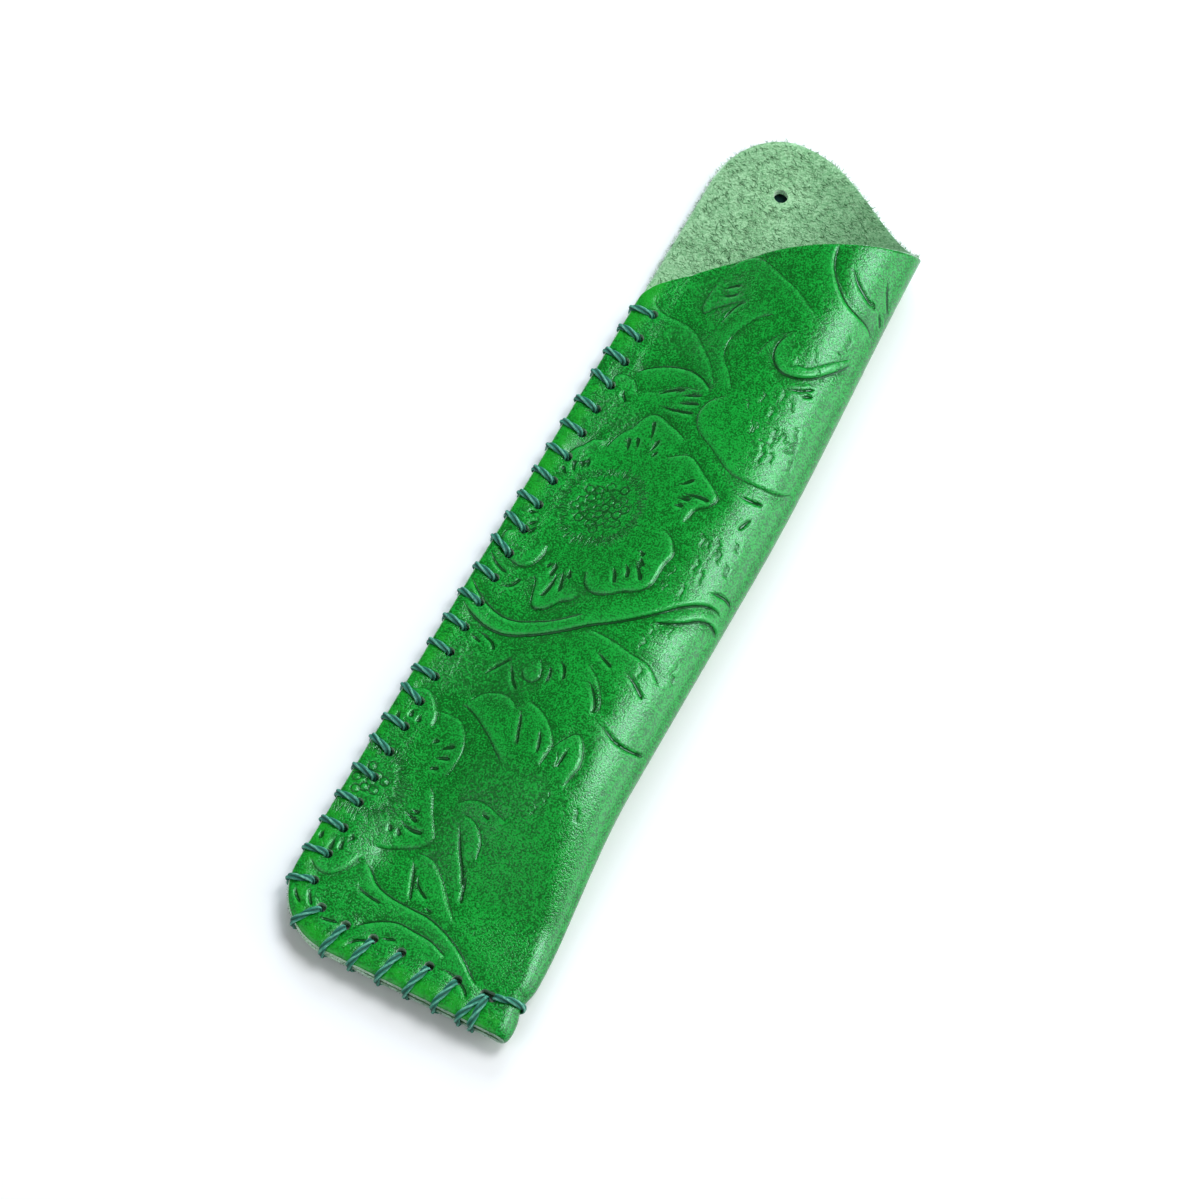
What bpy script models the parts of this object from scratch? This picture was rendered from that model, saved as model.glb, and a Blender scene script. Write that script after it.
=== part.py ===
"""Leather pen case.

One piece of tooling leather is folded lengthwise with a soft roll along the right side.
Its two long edges meet on the left, where a waxed thread whips them together down the side,
round the lower corner and along the bottom. A short loop of the same thread pinches the foot
of the roll. The back runs on past the slanting mouth as a rounded tongue with a hang hole.

Units are metres. +X runs from the seam to the roll, +Y from the foot to the tongue, and +Z
from the back to the front. The origin lies on the flat outer face of the back.
"""
import math

import bmesh
import bpy
import numpy as np

MM = 0.001

# The folded hide, seen flat from the front
CASE_LENGTH = 189.3 * MM        # foot to the top of the tongue
FOOT_WIDTH = 49.9 * MM          # seam edge to the pinched foot of the roll
BODY_WIDTH = 46.9 * MM          # the same across the middle
MOUTH_WIDTH = 43.8 * MM         # the same at the mouth, where the roll stands open
FRONT_LENGTH = 146.0 * MM       # foot to the low corner of the mouth
CORNER_RADIUS = 12.8 * MM       # lower corner on the seam side
MOUTH_RADIUS = 2.4 * MM         # low corner of the mouth, where the front's two edges meet
LEATHER = 1.6 * MM              # thickness of the hide

# The space inside the roll, and where it changes along the case
FOOT_CLEAR = 1.0 * MM           # clear height inside the fold
BODY_CLEAR = 8.8 * MM
MOUTH_CLEAR = 12.0 * MM
FOOT_ROUND = 1.0 * MM           # how far the inside of the fold bulges sideways
BODY_ROUND = 9.0 * MM
MOUTH_ROUND = 9.5 * MM
PINCH_START = 4.7 * MM          # the pinched foot ends here, above the bottom edge
PINCH_LENGTH = 48.0 * MM        # and the roll has swelled to the body after this length
FLARE_START = 101.7 * MM        # the mouth begins to open here
FLARE_LENGTH = 85.0 * MM

# Stitching
THREAD = 1.0 * MM               # diameter of the waxed thread
CLEARANCE = 0.3 * MM            # between the thread and the leather, and between the layers
HOLE_WALL = 0.05 * MM           # a punched hole is this much wider all round than the thread needs
STITCH_PITCH = 5.7 * MM
SIDE_MARGIN = 4.2 * MM          # hole row to the side edge
BOTTOM_MARGIN = 5.8 * MM        # hole row to the bottom edge
FIRST_HOLE_DROP = 4.4 * MM      # low corner of the mouth to the first hole
LAST_HOLE_INSET = 7.6 * MM      # foot of the roll to the last hole
STITCH_LEAN = 1.5 * MM          # how far a bottom stitch leans back towards the corner
TAIL_LENGTH = 2.0 * MM          # thread end tucked under the last stitch

# The loop round the foot of the roll
LOOP_RISE = 1.4 * MM            # it climbs this far between its hole and the fold
LOOP_BITE = 0.9 * MM            # and dents the fold this deep
LOOP_BITE_SPREAD = 2.6 * MM

# The edges curl up off the table, over the thread that passes beneath them
LIFT_BEYOND_HOLES = 1.5 * MM    # full lift reaches this far inside the side row
LIFT_ABOVE_HOLES = 3.5 * MM     # and this far above the bottom row
SIDE_FADE = 10.5 * MM
BOTTOM_FADE = 13.0 * MM
FRONT_BAND = 2.5 * MM           # the front lies flat on the back this far inside the side row
FRONT_FULLNESS = 0.75           # below 1 the front climbs sooner, and is flatter near the crest

# The tongue
HANG_HOLE = 2.75 * MM
HANG_HOLE_DROP = 11.9 * MM      # below the top of the tongue
HANG_HOLE_INSET = 12.9 * MM     # from the seam edge
CUT_OVERRUN = 2.0 * MM          # a cutter stands out of the leather by this much

# The top edge, from the tip of the roll (0) to either seam edge (1), and from the
# low corner of the mouth (0) to the top of the tongue (1), as control points of curves
MOUTH_CURVE_SHARES = ((0.0, 0.665), (0.38, 0.39), (0.64, 0.45), (1.0, 0.0))
TONGUE_CURVE_SHARES = ((0.0, 0.665), (0.3, 0.815), (0.5, 1.0), (0.68, 1.0))
TONGUE_SIDE_SHARE = 0.654

# Faces
BACK_COLUMNS = 13
ROLL_COLUMNS = 12
FRONT_COLUMNS = 13
FOOT_ROWS = 16
UPPER_ROWS = 24
FOOT_ROWS_SHARE = 0.13
HOLE_SIDES = 12
CURVE_SAMPLES = 400
BEND_STEPS = 2
LOOP_STEPS = 8

# Worked out from the sizes above
FOOT_Y = -CASE_LENGTH / 2
SEAM_X = -FOOT_WIDTH / 2
MOUTH_CORNER_Y = FOOT_Y + FRONT_LENGTH
TONGUE_RISE = CASE_LENGTH - FRONT_LENGTH
SEAM_LIFT = THREAD + 2 * CLEARANCE
THREAD_OFFSET = THREAD / 2 + CLEARANCE
HOLE_RADIUS = THREAD_OFFSET + HOLE_WALL
CORNER_X = SEAM_X + CORNER_RADIUS
CORNER_Y = FOOT_Y + CORNER_RADIUS
SIDE_ROW_X = SEAM_X + SIDE_MARGIN
BOTTOM_ROW_Y = FOOT_Y + BOTTOM_MARGIN
LAST_HOLE_X = SEAM_X + FOOT_WIDTH - LAST_HOLE_INSET
LOOP_HOLE_X = LAST_HOLE_X + THREAD + THREAD / 2 - HOLE_WALL
LOOP_Y = BOTTOM_ROW_Y + LOOP_RISE


def ease(share):
    """A smooth step from 0 to 1: three times the square less twice the cube."""
    t = np.clip(share, 0.0, 1.0)
    return t * t * (3 - 2 * t)


def along_case(y, foot, body, mouth):
    """A size that eases from its value at the foot to the body's, and on to the mouth's."""
    pinch = ease((FOOT_Y + PINCH_START + PINCH_LENGTH - y) / PINCH_LENGTH)
    flare = ease((y - FOOT_Y - FLARE_START) / FLARE_LENGTH)
    return body + (foot - body) * pinch + (mouth - body) * flare


def fold_x(y):
    """The outermost x of the roll, dented where the loop bites."""
    bite = LOOP_BITE * np.exp(-((y - LOOP_Y) / LOOP_BITE_SPREAD) ** 2)
    return SEAM_X + along_case(y, FOOT_WIDTH, BODY_WIDTH, MOUTH_WIDTH) - bite


def clear_height(y):
    """The clear height inside the roll."""
    return along_case(y, FOOT_CLEAR, BODY_CLEAR, MOUTH_CLEAR)


def roll_start_x(y):
    """Where the flat back turns up into the roll."""
    return fold_x(y) - LEATHER - along_case(y, FOOT_ROUND, BODY_ROUND, MOUTH_ROUND)


def lift(x, y):
    """How high the back's outer face stands off the table: raised at the side and the foot."""
    side = ease((SIDE_ROW_X + LIFT_BEYOND_HOLES + SIDE_FADE - x) / SIDE_FADE)
    foot = ease((BOTTOM_ROW_Y + LIFT_ABOVE_HOLES + BOTTOM_FADE - y) / BOTTOM_FADE)
    return SEAM_LIFT * (1 - (1 - side) * (1 - foot))


def front_inner_z(x, y):
    """The flesh side of the front: flat on the back at the seam, easing up to the roll's crest."""
    band_x = SIDE_ROW_X + FRONT_BAND
    share = np.clip((x - band_x) / (roll_start_x(y) - band_x), 0.0, 1.0)
    rise = ease(share ** FRONT_FULLNESS)
    return lift(x, y) + LEATHER + CLEARANCE + (clear_height(y) - CLEARANCE) * rise


def front_outer_z(x, y):
    """The grain side of the front, near the seams, where it lies almost level."""
    return front_inner_z(x, y) + LEATHER


def bottom_y(x):
    """The bottom edge, with its round corner on the seam side."""
    reach = np.clip((CORNER_X - x) / CORNER_RADIUS, 0.0, 1.0)
    return FOOT_Y + CORNER_RADIUS * (1 - np.sqrt(1 - reach ** 2))


def bezier(shares, t):
    """Points on a cubic curve through its four control points."""
    a, b, c, d = (np.array(point) for point in shares)
    t = np.asarray(t)[:, None]
    return (1 - t) ** 3 * a + 3 * (1 - t) ** 2 * t * b + 3 * (1 - t) * t ** 2 * c + t ** 3 * d


def top_y(out_share, on_front, inset):
    """The top edge at a share of the way from the roll's tip to a seam edge.

    inset is the distance to that seam edge, for the round low corner of the mouth.
    """
    t = np.linspace(0.0, 1.0, CURVE_SAMPLES)
    curve = bezier(MOUTH_CURVE_SHARES if on_front else TONGUE_CURVE_SHARES, t)
    rise = np.interp(out_share, curve[:, 0], curve[:, 1])
    if not on_front:
        shoulder = TONGUE_CURVE_SHARES[-1][0]
        beyond = np.clip((out_share - shoulder) / (1 - shoulder), 0.0, 1.0)
        corner = TONGUE_SIDE_SHARE + (1 - TONGUE_SIDE_SHARE) * np.sqrt(1 - beyond ** 2)
        rise = np.where(out_share > shoulder, corner, rise)
        return MOUTH_CORNER_Y + TONGUE_RISE * rise
    clipped = MOUTH_RADIUS - math.sqrt(MOUTH_RADIUS ** 2 - max(0.0, MOUTH_RADIUS - inset) ** 2)
    return MOUTH_CORNER_Y + TONGUE_RISE * rise - clipped


def hide_section(column, y):
    """The flesh side at one column of the grid, as x and z, for an array of y.

    Columns run along the back from the seam edge, round the roll as a half ellipse, and
    back along the front. They crowd towards the seam edges, where the corners are round.
    """
    start = roll_start_x(y)
    half_height = clear_height(y) / 2
    if column <= BACK_COLUMNS:
        x = SEAM_X + (start - SEAM_X) * (1 - math.cos(math.pi / 2 * column / BACK_COLUMNS))
        return x, lift(x, y) + LEATHER
    if column <= BACK_COLUMNS + ROLL_COLUMNS:
        turn = math.pi * (column - BACK_COLUMNS) / ROLL_COLUMNS
        x = start + (fold_x(y) - LEATHER - start) * math.sin(turn)
        return x, lift(x, y) + LEATHER + half_height * (1 - math.cos(turn))
    step = (column - BACK_COLUMNS - ROLL_COLUMNS) / FRONT_COLUMNS
    x = SEAM_X + (start - SEAM_X) * (1 - math.sin(math.pi / 2 * step))
    return x, front_inner_z(x, y)


def out_shares():
    """For each column, its share of the way from the roll's tip to the seam edge, and its inset."""
    y = np.array([MOUTH_CORNER_Y + TONGUE_RISE / 2])
    points = np.array([np.concatenate(hide_section(i, y)) for i in range(hide_columns())])
    steps = np.linalg.norm(np.diff(points, axis=0), axis=1)
    length = np.concatenate(([0.0], np.cumsum(steps)))
    tip = length[BACK_COLUMNS + ROLL_COLUMNS // 2]
    shares = np.where(length < tip, (tip - length) / tip, (length - tip) / (length[-1] - tip))
    return shares, np.minimum(length, length[-1] - length)


def hide_columns():
    """How many columns of points the hide has."""
    return BACK_COLUMNS + ROLL_COLUMNS + FRONT_COLUMNS + 1


def row_shares():
    """The rows' shares of a column's length, closer together at the foot."""
    foot = np.linspace(0.0, FOOT_ROWS_SHARE, FOOT_ROWS + 1)
    upper = np.linspace(FOOT_ROWS_SHARE, 1.0, UPPER_ROWS + 1)
    return np.concatenate((foot, upper[1:]))


def hide_surface():
    """The flesh side as a grid of points: columns, rows, x y z."""
    shares, insets = out_shares()
    rows = row_shares()
    tip = BACK_COLUMNS + ROLL_COLUMNS // 2
    grid = np.zeros((hide_columns(), len(rows), 3))
    for i, out_share in enumerate(shares):
        top = top_y(out_share, i > tip, insets[i])
        edge_x = hide_section(i, np.array([top]))[0][0]
        bottom = bottom_y(edge_x)
        y = bottom + (top - bottom) * rows
        x, z = hide_section(i, y)
        grid[i] = np.stack((x, y, z), axis=1)
    return grid


def grain_side(flesh):
    """The grain side: the flesh side moved out by the leather, square to each cross-section."""
    along = np.gradient(flesh[:, :, (0, 2)], axis=0)
    along /= np.linalg.norm(along, axis=2)[:, :, None]
    out = flesh.copy()
    out[:, :, 0] += LEATHER * along[:, :, 1]
    out[:, :, 2] -= LEATHER * along[:, :, 0]
    return out


def clear_objects():
    """Remove everything that the scene starts with."""
    for item in list(bpy.data.objects):
        bpy.data.objects.remove(item, do_unlink=True)


def finish(name, colour, roughness):
    """A Principled material."""
    material = bpy.data.materials.new(name)
    material.use_nodes = True
    shader = material.node_tree.nodes["Principled BSDF"]
    shader.inputs["Base Color"].default_value = (*colour, 1.0)
    shader.inputs["Roughness"].default_value = roughness
    shader.inputs["Metallic"].default_value = 0.0
    return material


def add_object(name, data, material):
    """Link a named object that holds the data and its material."""
    item = bpy.data.objects.new(name, data)
    bpy.context.scene.collection.objects.link(item)
    if material:
        data.materials.append(material)
    return item


def shell_mesh(name, flesh, grain):
    """A closed mesh between two grids, joined round their four borders."""
    columns, rows = flesh.shape[:2]
    mesh_builder = bmesh.new()
    sheets = [[[mesh_builder.verts.new(point) for point in line] for line in grid]
              for grid in (flesh, grain)]
    for sheet in sheets:
        for i in range(columns - 1):
            for j in range(rows - 1):
                quad = (sheet[i][j], sheet[i + 1][j], sheet[i + 1][j + 1], sheet[i][j + 1])
                mesh_builder.faces.new(quad)
    rim = [(i, 0) for i in range(columns)] + [(columns - 1, j) for j in range(1, rows)]
    rim += [(i, rows - 1) for i in range(columns - 2, -1, -1)]
    rim += [(0, j) for j in range(rows - 2, 0, -1)]
    for (i, j), (k, m) in zip(rim, rim[1:] + rim[:1]):
        mesh_builder.faces.new((sheets[0][i][j], sheets[0][k][m], sheets[1][k][m], sheets[1][i][j]))
    bmesh.ops.triangulate(mesh_builder, faces=mesh_builder.faces[:])
    bmesh.ops.recalc_face_normals(mesh_builder, faces=mesh_builder.faces[:])
    mesh = bpy.data.meshes.new(name)
    mesh_builder.to_mesh(mesh)
    mesh_builder.free()
    return mesh


def seam_path():
    """The hole row as a dense line: down the side, round the corner, along the bottom."""
    first = (SIDE_ROW_X, MOUTH_CORNER_Y - FIRST_HOLE_DROP)
    turn = np.linspace(0.0, math.pi / 2, CURVE_SAMPLES)
    corner_x = CORNER_X - (CORNER_RADIUS - SIDE_MARGIN) * np.cos(turn)
    corner_y = CORNER_Y - (CORNER_RADIUS - BOTTOM_MARGIN) * np.sin(turn)
    x = np.concatenate(([first[0]], corner_x, [LAST_HOLE_X]))
    y = np.concatenate(([first[1]], corner_y, [BOTTOM_ROW_Y]))
    return np.stack((x, y), axis=1)


def hole_centres():
    """Holes at equal steps along the hole row, as near to the pitch as a whole number gives."""
    path = seam_path()
    length = np.concatenate(([0.0], np.cumsum(np.linalg.norm(np.diff(path, axis=0), axis=1))))
    count = max(2, round(length[-1] / STITCH_PITCH)) + 1
    at = np.linspace(0.0, length[-1], count)
    return np.stack((np.interp(at, length, path[:, 0]), np.interp(at, length, path[:, 1])), axis=1)


def edge_crossing(hole):
    """Where the stitch from a hole crosses the edge of the hide."""
    if hole[1] >= CORNER_Y:
        return np.array((SEAM_X, hole[1]))
    if hole[0] >= CORNER_X:
        return np.array((hole[0] - STITCH_LEAN, FOOT_Y))
    corner = np.array((CORNER_X, CORNER_Y))
    ray = (hole - corner) / np.linalg.norm(hole - corner)
    return corner + CORNER_RADIUS * ray


def unit(vector):
    """The vector at length one."""
    return vector / np.linalg.norm(vector)


def bend(pivot, start, end):
    """Points round a corner, a thread's offset from the pivot, from one direction to another."""
    points = []
    for step in range(BEND_STEPS + 1):
        turn = math.pi / 2 * step / BEND_STEPS
        points.append(pivot + THREAD_OFFSET * (math.cos(turn) * start + math.sin(turn) * end))
    return points


def flat_point(place, z):
    """A point from a place in plan and a height."""
    return np.array((place[0], place[1], z))


def rim_pivot(hole, towards, z):
    """The pivot of a bend at a hole's mouth, so that the thread comes up the hole's centre."""
    return flat_point(hole + THREAD_OFFSET * towards, z)


UP = np.array((0.0, 0.0, 1.0))


def level(direction):
    """A direction in plan as a direction in space."""
    return np.array((direction[0], direction[1], 0.0))


def whip_route():
    """The thread's centre line.

    Each turn comes up a hole, runs over the front to the edge, drops past the two cut
    edges and slants under the back to the next hole, a thread's offset off the leather.
    """
    holes = hole_centres()
    first = holes[0]
    mid_height = lift(*first) + LEATHER
    points = [flat_point(first, mid_height)]
    for i, hole in enumerate(holes):
        edge = edge_crossing(hole)
        out = unit(edge - hole)
        top = front_outer_z(*hole)
        points += bend(rim_pivot(hole, out, top), level(-out), UP)
        edge_top = flat_point(edge, front_outer_z(*edge))
        edge_bottom = flat_point(edge, lift(*edge))
        points += bend(edge_top, UP, level(out))
        points += bend(edge_bottom, level(out), -UP)
        if i + 1 < len(holes):
            ahead = holes[i + 1]
            way = unit(ahead - edge)
            points += bend(rim_pivot(ahead, -way, lift(*ahead)), -UP, level(way))
    points.append(points[-1] - TAIL_LENGTH * level(out))
    return np.array(points)


def loop_route():
    """The closed loop through the last hole and round the foot of the roll."""
    hole = np.array((LOOP_HOLE_X, BOTTOM_ROW_Y))
    start = roll_start_x(LOOP_Y)
    reach = fold_x(LOOP_Y) + THREAD_OFFSET - start
    slope = LOOP_RISE / (start + reach - LOOP_HOLE_X)
    low = lift(*hole)
    centre_z = low + LEATHER + clear_height(LOOP_Y) / 2
    half_height = clear_height(LOOP_Y) / 2 + LEATHER + THREAD_OFFSET
    out = unit(np.array((1.0, slope)))
    points = bend(rim_pivot(hole, out, front_outer_z(*hole)), level(-out), UP)
    for step in range(LOOP_STEPS + 1):
        turn = math.pi * step / LOOP_STEPS
        x = start + reach * math.sin(turn)
        y = BOTTOM_ROW_Y + slope * (x - LOOP_HOLE_X)
        points.append(np.array((x, y, centre_z + half_height * math.cos(turn))))
    points += bend(rim_pivot(hole, out, low), -UP, level(-out))
    return np.array(points)


def thread_tube(name, route, closed, material):
    """One unbroken round tube along a route."""
    curve = bpy.data.curves.new(name, "CURVE")
    curve.dimensions = "3D"
    curve.bevel_depth = THREAD / 2
    curve.bevel_resolution = 1
    curve.use_fill_caps = not closed
    spline = curve.splines.new("POLY")
    spline.points.add(len(route) - 1)
    spline.points.foreach_set("co", np.column_stack((route, np.ones(len(route)))).ravel())
    spline.use_cyclic_u = closed
    spline.use_smooth = True
    return add_object(name, curve, material)


def dense(route):
    """The route with points no more than half a thread apart."""
    parts = [route[:1]]
    for a, b in zip(route, route[1:]):
        count = max(1, math.ceil(np.linalg.norm(b - a) / (THREAD / 2)))
        share = np.linspace(0.0, 1.0, count + 1)[1:, None]
        parts.append(a + (b - a) * share)
    return np.concatenate(parts)


def least_gap(route, closed=False):
    """The least gap between turns: points further apart along the thread than three diameters."""
    points = dense(np.concatenate((route, route[:1])) if closed else route)
    at = np.concatenate(([0.0], np.cumsum(np.linalg.norm(np.diff(points, axis=0), axis=1))))
    apart = np.abs(at[:, None] - at[None, :])
    if closed:
        apart = np.minimum(apart, at[-1] - apart)
    far = apart > 3 * THREAD + 2 * THREAD_OFFSET
    distance = np.linalg.norm(points[:, None] - points[None, :], axis=2)
    return distance[far].min() - THREAD


def hole_cutter():
    """Punches for every stitch hole, the stretched last hole and the hang hole, in one mesh."""
    holes = hole_centres()
    top = front_outer_z(*holes[-1]) + CUT_OVERRUN
    punches = [(hole, HOLE_RADIUS, top) for hole in holes[:-1]]
    hang = (SEAM_X + HANG_HOLE_INSET, FOOT_Y + CASE_LENGTH - HANG_HOLE_DROP)
    punches.append((hang, HANG_HOLE / 2, lift(*hang) + LEATHER + CUT_OVERRUN))
    mesh_builder = bmesh.new()
    for place, radius, high in punches:
        add_punch(mesh_builder, (place, place), radius, high)
    add_punch(mesh_builder, (holes[-1], (LOOP_HOLE_X, BOTTOM_ROW_Y)), HOLE_RADIUS, top)
    mesh = bpy.data.meshes.new("hole_punches")
    mesh_builder.to_mesh(mesh)
    mesh_builder.free()
    cutter = add_object("hole_punches", mesh, None)
    cutter.hide_render = True
    cutter.display_type = "WIRE"
    return cutter


def add_punch(mesh_builder, ends, radius, high):
    """A prism with round ends between two places, from below the back up to a height."""
    rings = []
    for z in (-CUT_OVERRUN, high):
        ring = []
        for step in range(HOLE_SIDES):
            turn = 2 * math.pi * (step + 0.5) / HOLE_SIDES
            end = ends[1] if math.cos(turn) > 0 else ends[0]
            x = end[0] + radius * math.cos(turn)
            y = end[1] + radius * math.sin(turn)
            ring.append(mesh_builder.verts.new((x, y, z)))
        rings.append(ring)
    low, top = rings
    mesh_builder.faces.new(low[::-1])
    mesh_builder.faces.new(top)
    for k in range(HOLE_SIDES):
        n = (k + 1) % HOLE_SIDES
        mesh_builder.faces.new((low[k], low[n], top[n], top[k]))


def build_hide():
    """The folded hide with its punched holes."""
    leather = finish("green tooling leather", (0.02, 0.22, 0.045), 0.42)
    flesh = hide_surface()
    mesh = shell_mesh("leather_body", flesh, grain_side(flesh))
    hide = add_object("leather_body", mesh, leather)
    mesh.shade_smooth()
    mesh.set_sharp_from_angle(angle=math.radians(35))
    cut = hide.modifiers.new("punched holes", "BOOLEAN")
    cut.operation = "DIFFERENCE"
    cut.solver = "EXACT"
    cut.object = hole_cutter()
    return hide


def build_threads():
    """The whip stitch and the loop round the foot of the roll."""
    waxed = finish("dark teal waxed thread", (0.012, 0.075, 0.065), 0.5)
    whip = whip_route()
    loop = loop_route()
    thread_tube("whip_stitch_thread", whip, False, waxed)
    thread_tube("fold_loop_thread", loop, True, waxed)
    print("stitch holes", len(hole_centres()))
    print("least gap of the whip stitch to itself, mm", round(least_gap(whip) / MM, 2))
    print("least gap of the loop to itself, mm", round(least_gap(loop, True) / MM, 2))


def main():
    """Build the pen case."""
    clear_objects()
    build_hide()
    build_threads()


main()
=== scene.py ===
# %% [markdown]
# # Leather pen case
# A slim case for a pen, cut from green tooling leather. The hide is folded lengthwise with a
# soft roll on the right, its long edges are whipped together with waxed thread on the left, and
# the back runs on past the slanting mouth as a rounded tongue. This script dresses the packed
# part: it never moves it, and works out every surface again, finer, from the same sizes.

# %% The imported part
import math

import bmesh
import bpy
import numpy as np
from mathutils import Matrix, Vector


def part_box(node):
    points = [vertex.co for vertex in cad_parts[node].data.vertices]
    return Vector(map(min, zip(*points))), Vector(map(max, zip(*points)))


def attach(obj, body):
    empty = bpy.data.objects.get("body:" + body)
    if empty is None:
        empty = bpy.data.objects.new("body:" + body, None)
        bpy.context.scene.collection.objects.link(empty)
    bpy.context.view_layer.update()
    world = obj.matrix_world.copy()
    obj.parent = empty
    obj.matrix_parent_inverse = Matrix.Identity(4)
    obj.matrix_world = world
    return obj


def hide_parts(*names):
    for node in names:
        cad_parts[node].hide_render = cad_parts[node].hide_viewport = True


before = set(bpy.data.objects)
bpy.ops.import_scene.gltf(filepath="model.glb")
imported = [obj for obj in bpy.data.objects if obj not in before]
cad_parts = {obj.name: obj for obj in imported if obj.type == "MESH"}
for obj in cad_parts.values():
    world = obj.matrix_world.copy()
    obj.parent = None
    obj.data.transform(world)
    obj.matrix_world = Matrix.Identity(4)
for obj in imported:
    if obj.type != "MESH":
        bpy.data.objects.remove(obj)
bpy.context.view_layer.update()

MM = 0.001
BODY = "root"

# %% [markdown]
# ## Camera
# The case lies flat and is seen from above, turned so that its tongue points to the upper
# right. A long lens keeps the two long edges nearly parallel. The camera could be placed by
# eye, but here its angles and its lens were fitted to the places of the stitch holes.

# %% The camera
CAMERA_AZIMUTH = 28.127         # degrees, as for the lamps below
CAMERA_ELEVATION = 64.234
CAMERA_DISTANCE = 1000.0 * MM
CAMERA_TARGET = (-2.579 * MM, -8.35 * MM, 0.0)
CAMERA_LENS = 162.28            # mm, on Blender's 36 mm sensor


def linked(name, data):
    """An object for a mesh, a lamp or a camera, at the origin."""
    item = bpy.data.objects.new(name, data)
    bpy.context.scene.collection.objects.link(item)
    return item


def hung(name, data, azimuth, elevation, distance, target=(0.0, 0.0, 0.0)):
    """An object on a sphere round its target: azimuth turns it, elevation lifts it."""
    turn, rise = math.radians(azimuth), math.radians(elevation)
    level = math.cos(rise)
    back = Vector((math.sin(turn) * level, -math.cos(turn) * level, math.sin(rise)))
    item = linked(name, data)
    item.location = Vector(target) + distance * back
    item.rotation_euler = back.to_track_quat("Z", "Y").to_euler()
    return item


lens = bpy.data.cameras.new("camera")
lens.lens = CAMERA_LENS
bpy.context.scene.camera = hung("camera", lens, CAMERA_AZIMUTH, CAMERA_ELEVATION,
                                CAMERA_DISTANCE, CAMERA_TARGET)
bpy.context.scene.view_settings.view_transform = "Standard"
print("camera is at", [round(v, 3) for v in bpy.context.scene.camera.location])

# %% [markdown]
# ## Shader sums
# A material here is written as sums in Python. One small class wraps a node's output, so that
# `1 - mask` or `grain * 0.3 + pores` adds the Math nodes by itself, and one method makes every
# other node from its type, its settings and what goes into its sockets.

# %% Wires and finishes


class Wire:
    """A node's output. A sum on it adds a Math node to the same material."""

    def __init__(self, tree, socket):
        self.tree, self.socket = tree, socket

    def math(self, operation, first, second=None, clamp=False):
        """The result of one Math node."""
        node = self.tree.nodes.new("ShaderNodeMath")
        node.operation, node.use_clamp = operation, clamp
        plug(self.tree, node.inputs[0], first)
        if second is not None:
            plug(self.tree, node.inputs[1], second)
        return Wire(self.tree, node.outputs[0])

    def __add__(self, other):
        return self.math("ADD", self, other)

    def __sub__(self, other):
        return self.math("SUBTRACT", self, other)

    def __rsub__(self, other):
        return self.math("SUBTRACT", other, self)

    def __mul__(self, other):
        return self.math("MULTIPLY", self, other)

    def __abs__(self):
        return self.math("ABSOLUTE", self)

    __radd__, __rmul__ = __add__, __mul__

    def clamped(self):
        """The same value, kept between 0 and 1."""
        return self.math("ADD", self, 0.0, clamp=True)


def plug(tree, socket, value):
    """Link a wire to a socket, or set the socket to a plain value."""
    if isinstance(value, Wire):
        tree.links.new(value.socket, socket)
    else:
        socket.default_value = value


def shade(red, green, blue):
    """A colour as a screen shows it, 0 to 255, as the linear light that Blender works in."""
    screen = np.array((red, green, blue)) / 255
    linear = np.where(screen <= 0.04045, screen / 12.92, ((screen + 0.055) / 1.055) ** 2.4)
    return (*linear.tolist(), 1.0)


class Finish:
    """A material with a Principled shader, and the nodes that feed it."""

    def __init__(self, name, **constants):
        self.material = bpy.data.materials.new(name)
        self.material.use_nodes = True
        self.tree = self.material.node_tree
        self.shader = self.tree.nodes["Principled BSDF"]
        for socket, value in constants.items():
            self.shader.inputs[socket.replace("_", " ")].default_value = value

    def node(self, kind, settings, sockets, output=0):
        """Any node: its settings go in first, then the values or wires of its sockets."""
        made = self.tree.nodes.new("ShaderNode" + kind)
        for name, value in settings.items():
            setattr(made, name, value)
        for name, value in sockets.items():
            plug(self.tree, made.inputs[name], value)
        return Wire(self.tree, made.outputs[output])

    def feed(self, socket, value):
        """Link a wire to one of the shader's own sockets."""
        plug(self.tree, self.shader.inputs[socket], value)

    def place(self):
        """Object coordinates, in metres."""
        return self.node("TexCoord", {}, {}, "Object")

    def painted(self, name, output="Fac"):
        """A value that the mesh carries on its points."""
        return self.node("Attribute", {"attribute_name": name}, {}, output)

    def noise(self, place, scale, detail=2.0, roughness=0.5, stretch=None, turn=0.0):
        """Cloudy noise from 0 to 1; stretch draws it out along the axes of a turned frame."""
        if stretch:
            sockets = {"Vector": place, "Rotation": (0.0, 0.0, turn), "Scale": stretch}
            place = self.node("Mapping", {"vector_type": "TEXTURE"}, sockets)
        values = {"Vector": place, "Scale": scale, "Detail": detail, "Roughness": roughness}
        return self.node("TexNoise", {}, values)

    def step(self, value, low, high):
        """0 at low and 1 at high, eased between."""
        settings = {"interpolation_type": "SMOOTHSTEP"}
        return self.node("MapRange", settings, {"Value": value, "From Min": low, "From Max": high})

    def mix(self, factor, first, second):
        """A blend of two colours."""
        settings = {"data_type": "RGBA", "clamp_factor": True}
        return self.node("Mix", settings, {0: factor, 6: first, 7: second}, 2)

    def bump(self, height):
        """A height in metres as a change of the surface's normal."""
        made = self.node("Bump", {}, {"Height": height, "Distance": 1.0, "Strength": 1.0})
        self.feed("Normal", made)


print("shader sums ready")

# %% [markdown]
# ## The hide's sizes
# These repeat the construction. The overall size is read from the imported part, so that the
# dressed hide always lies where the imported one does.

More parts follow.
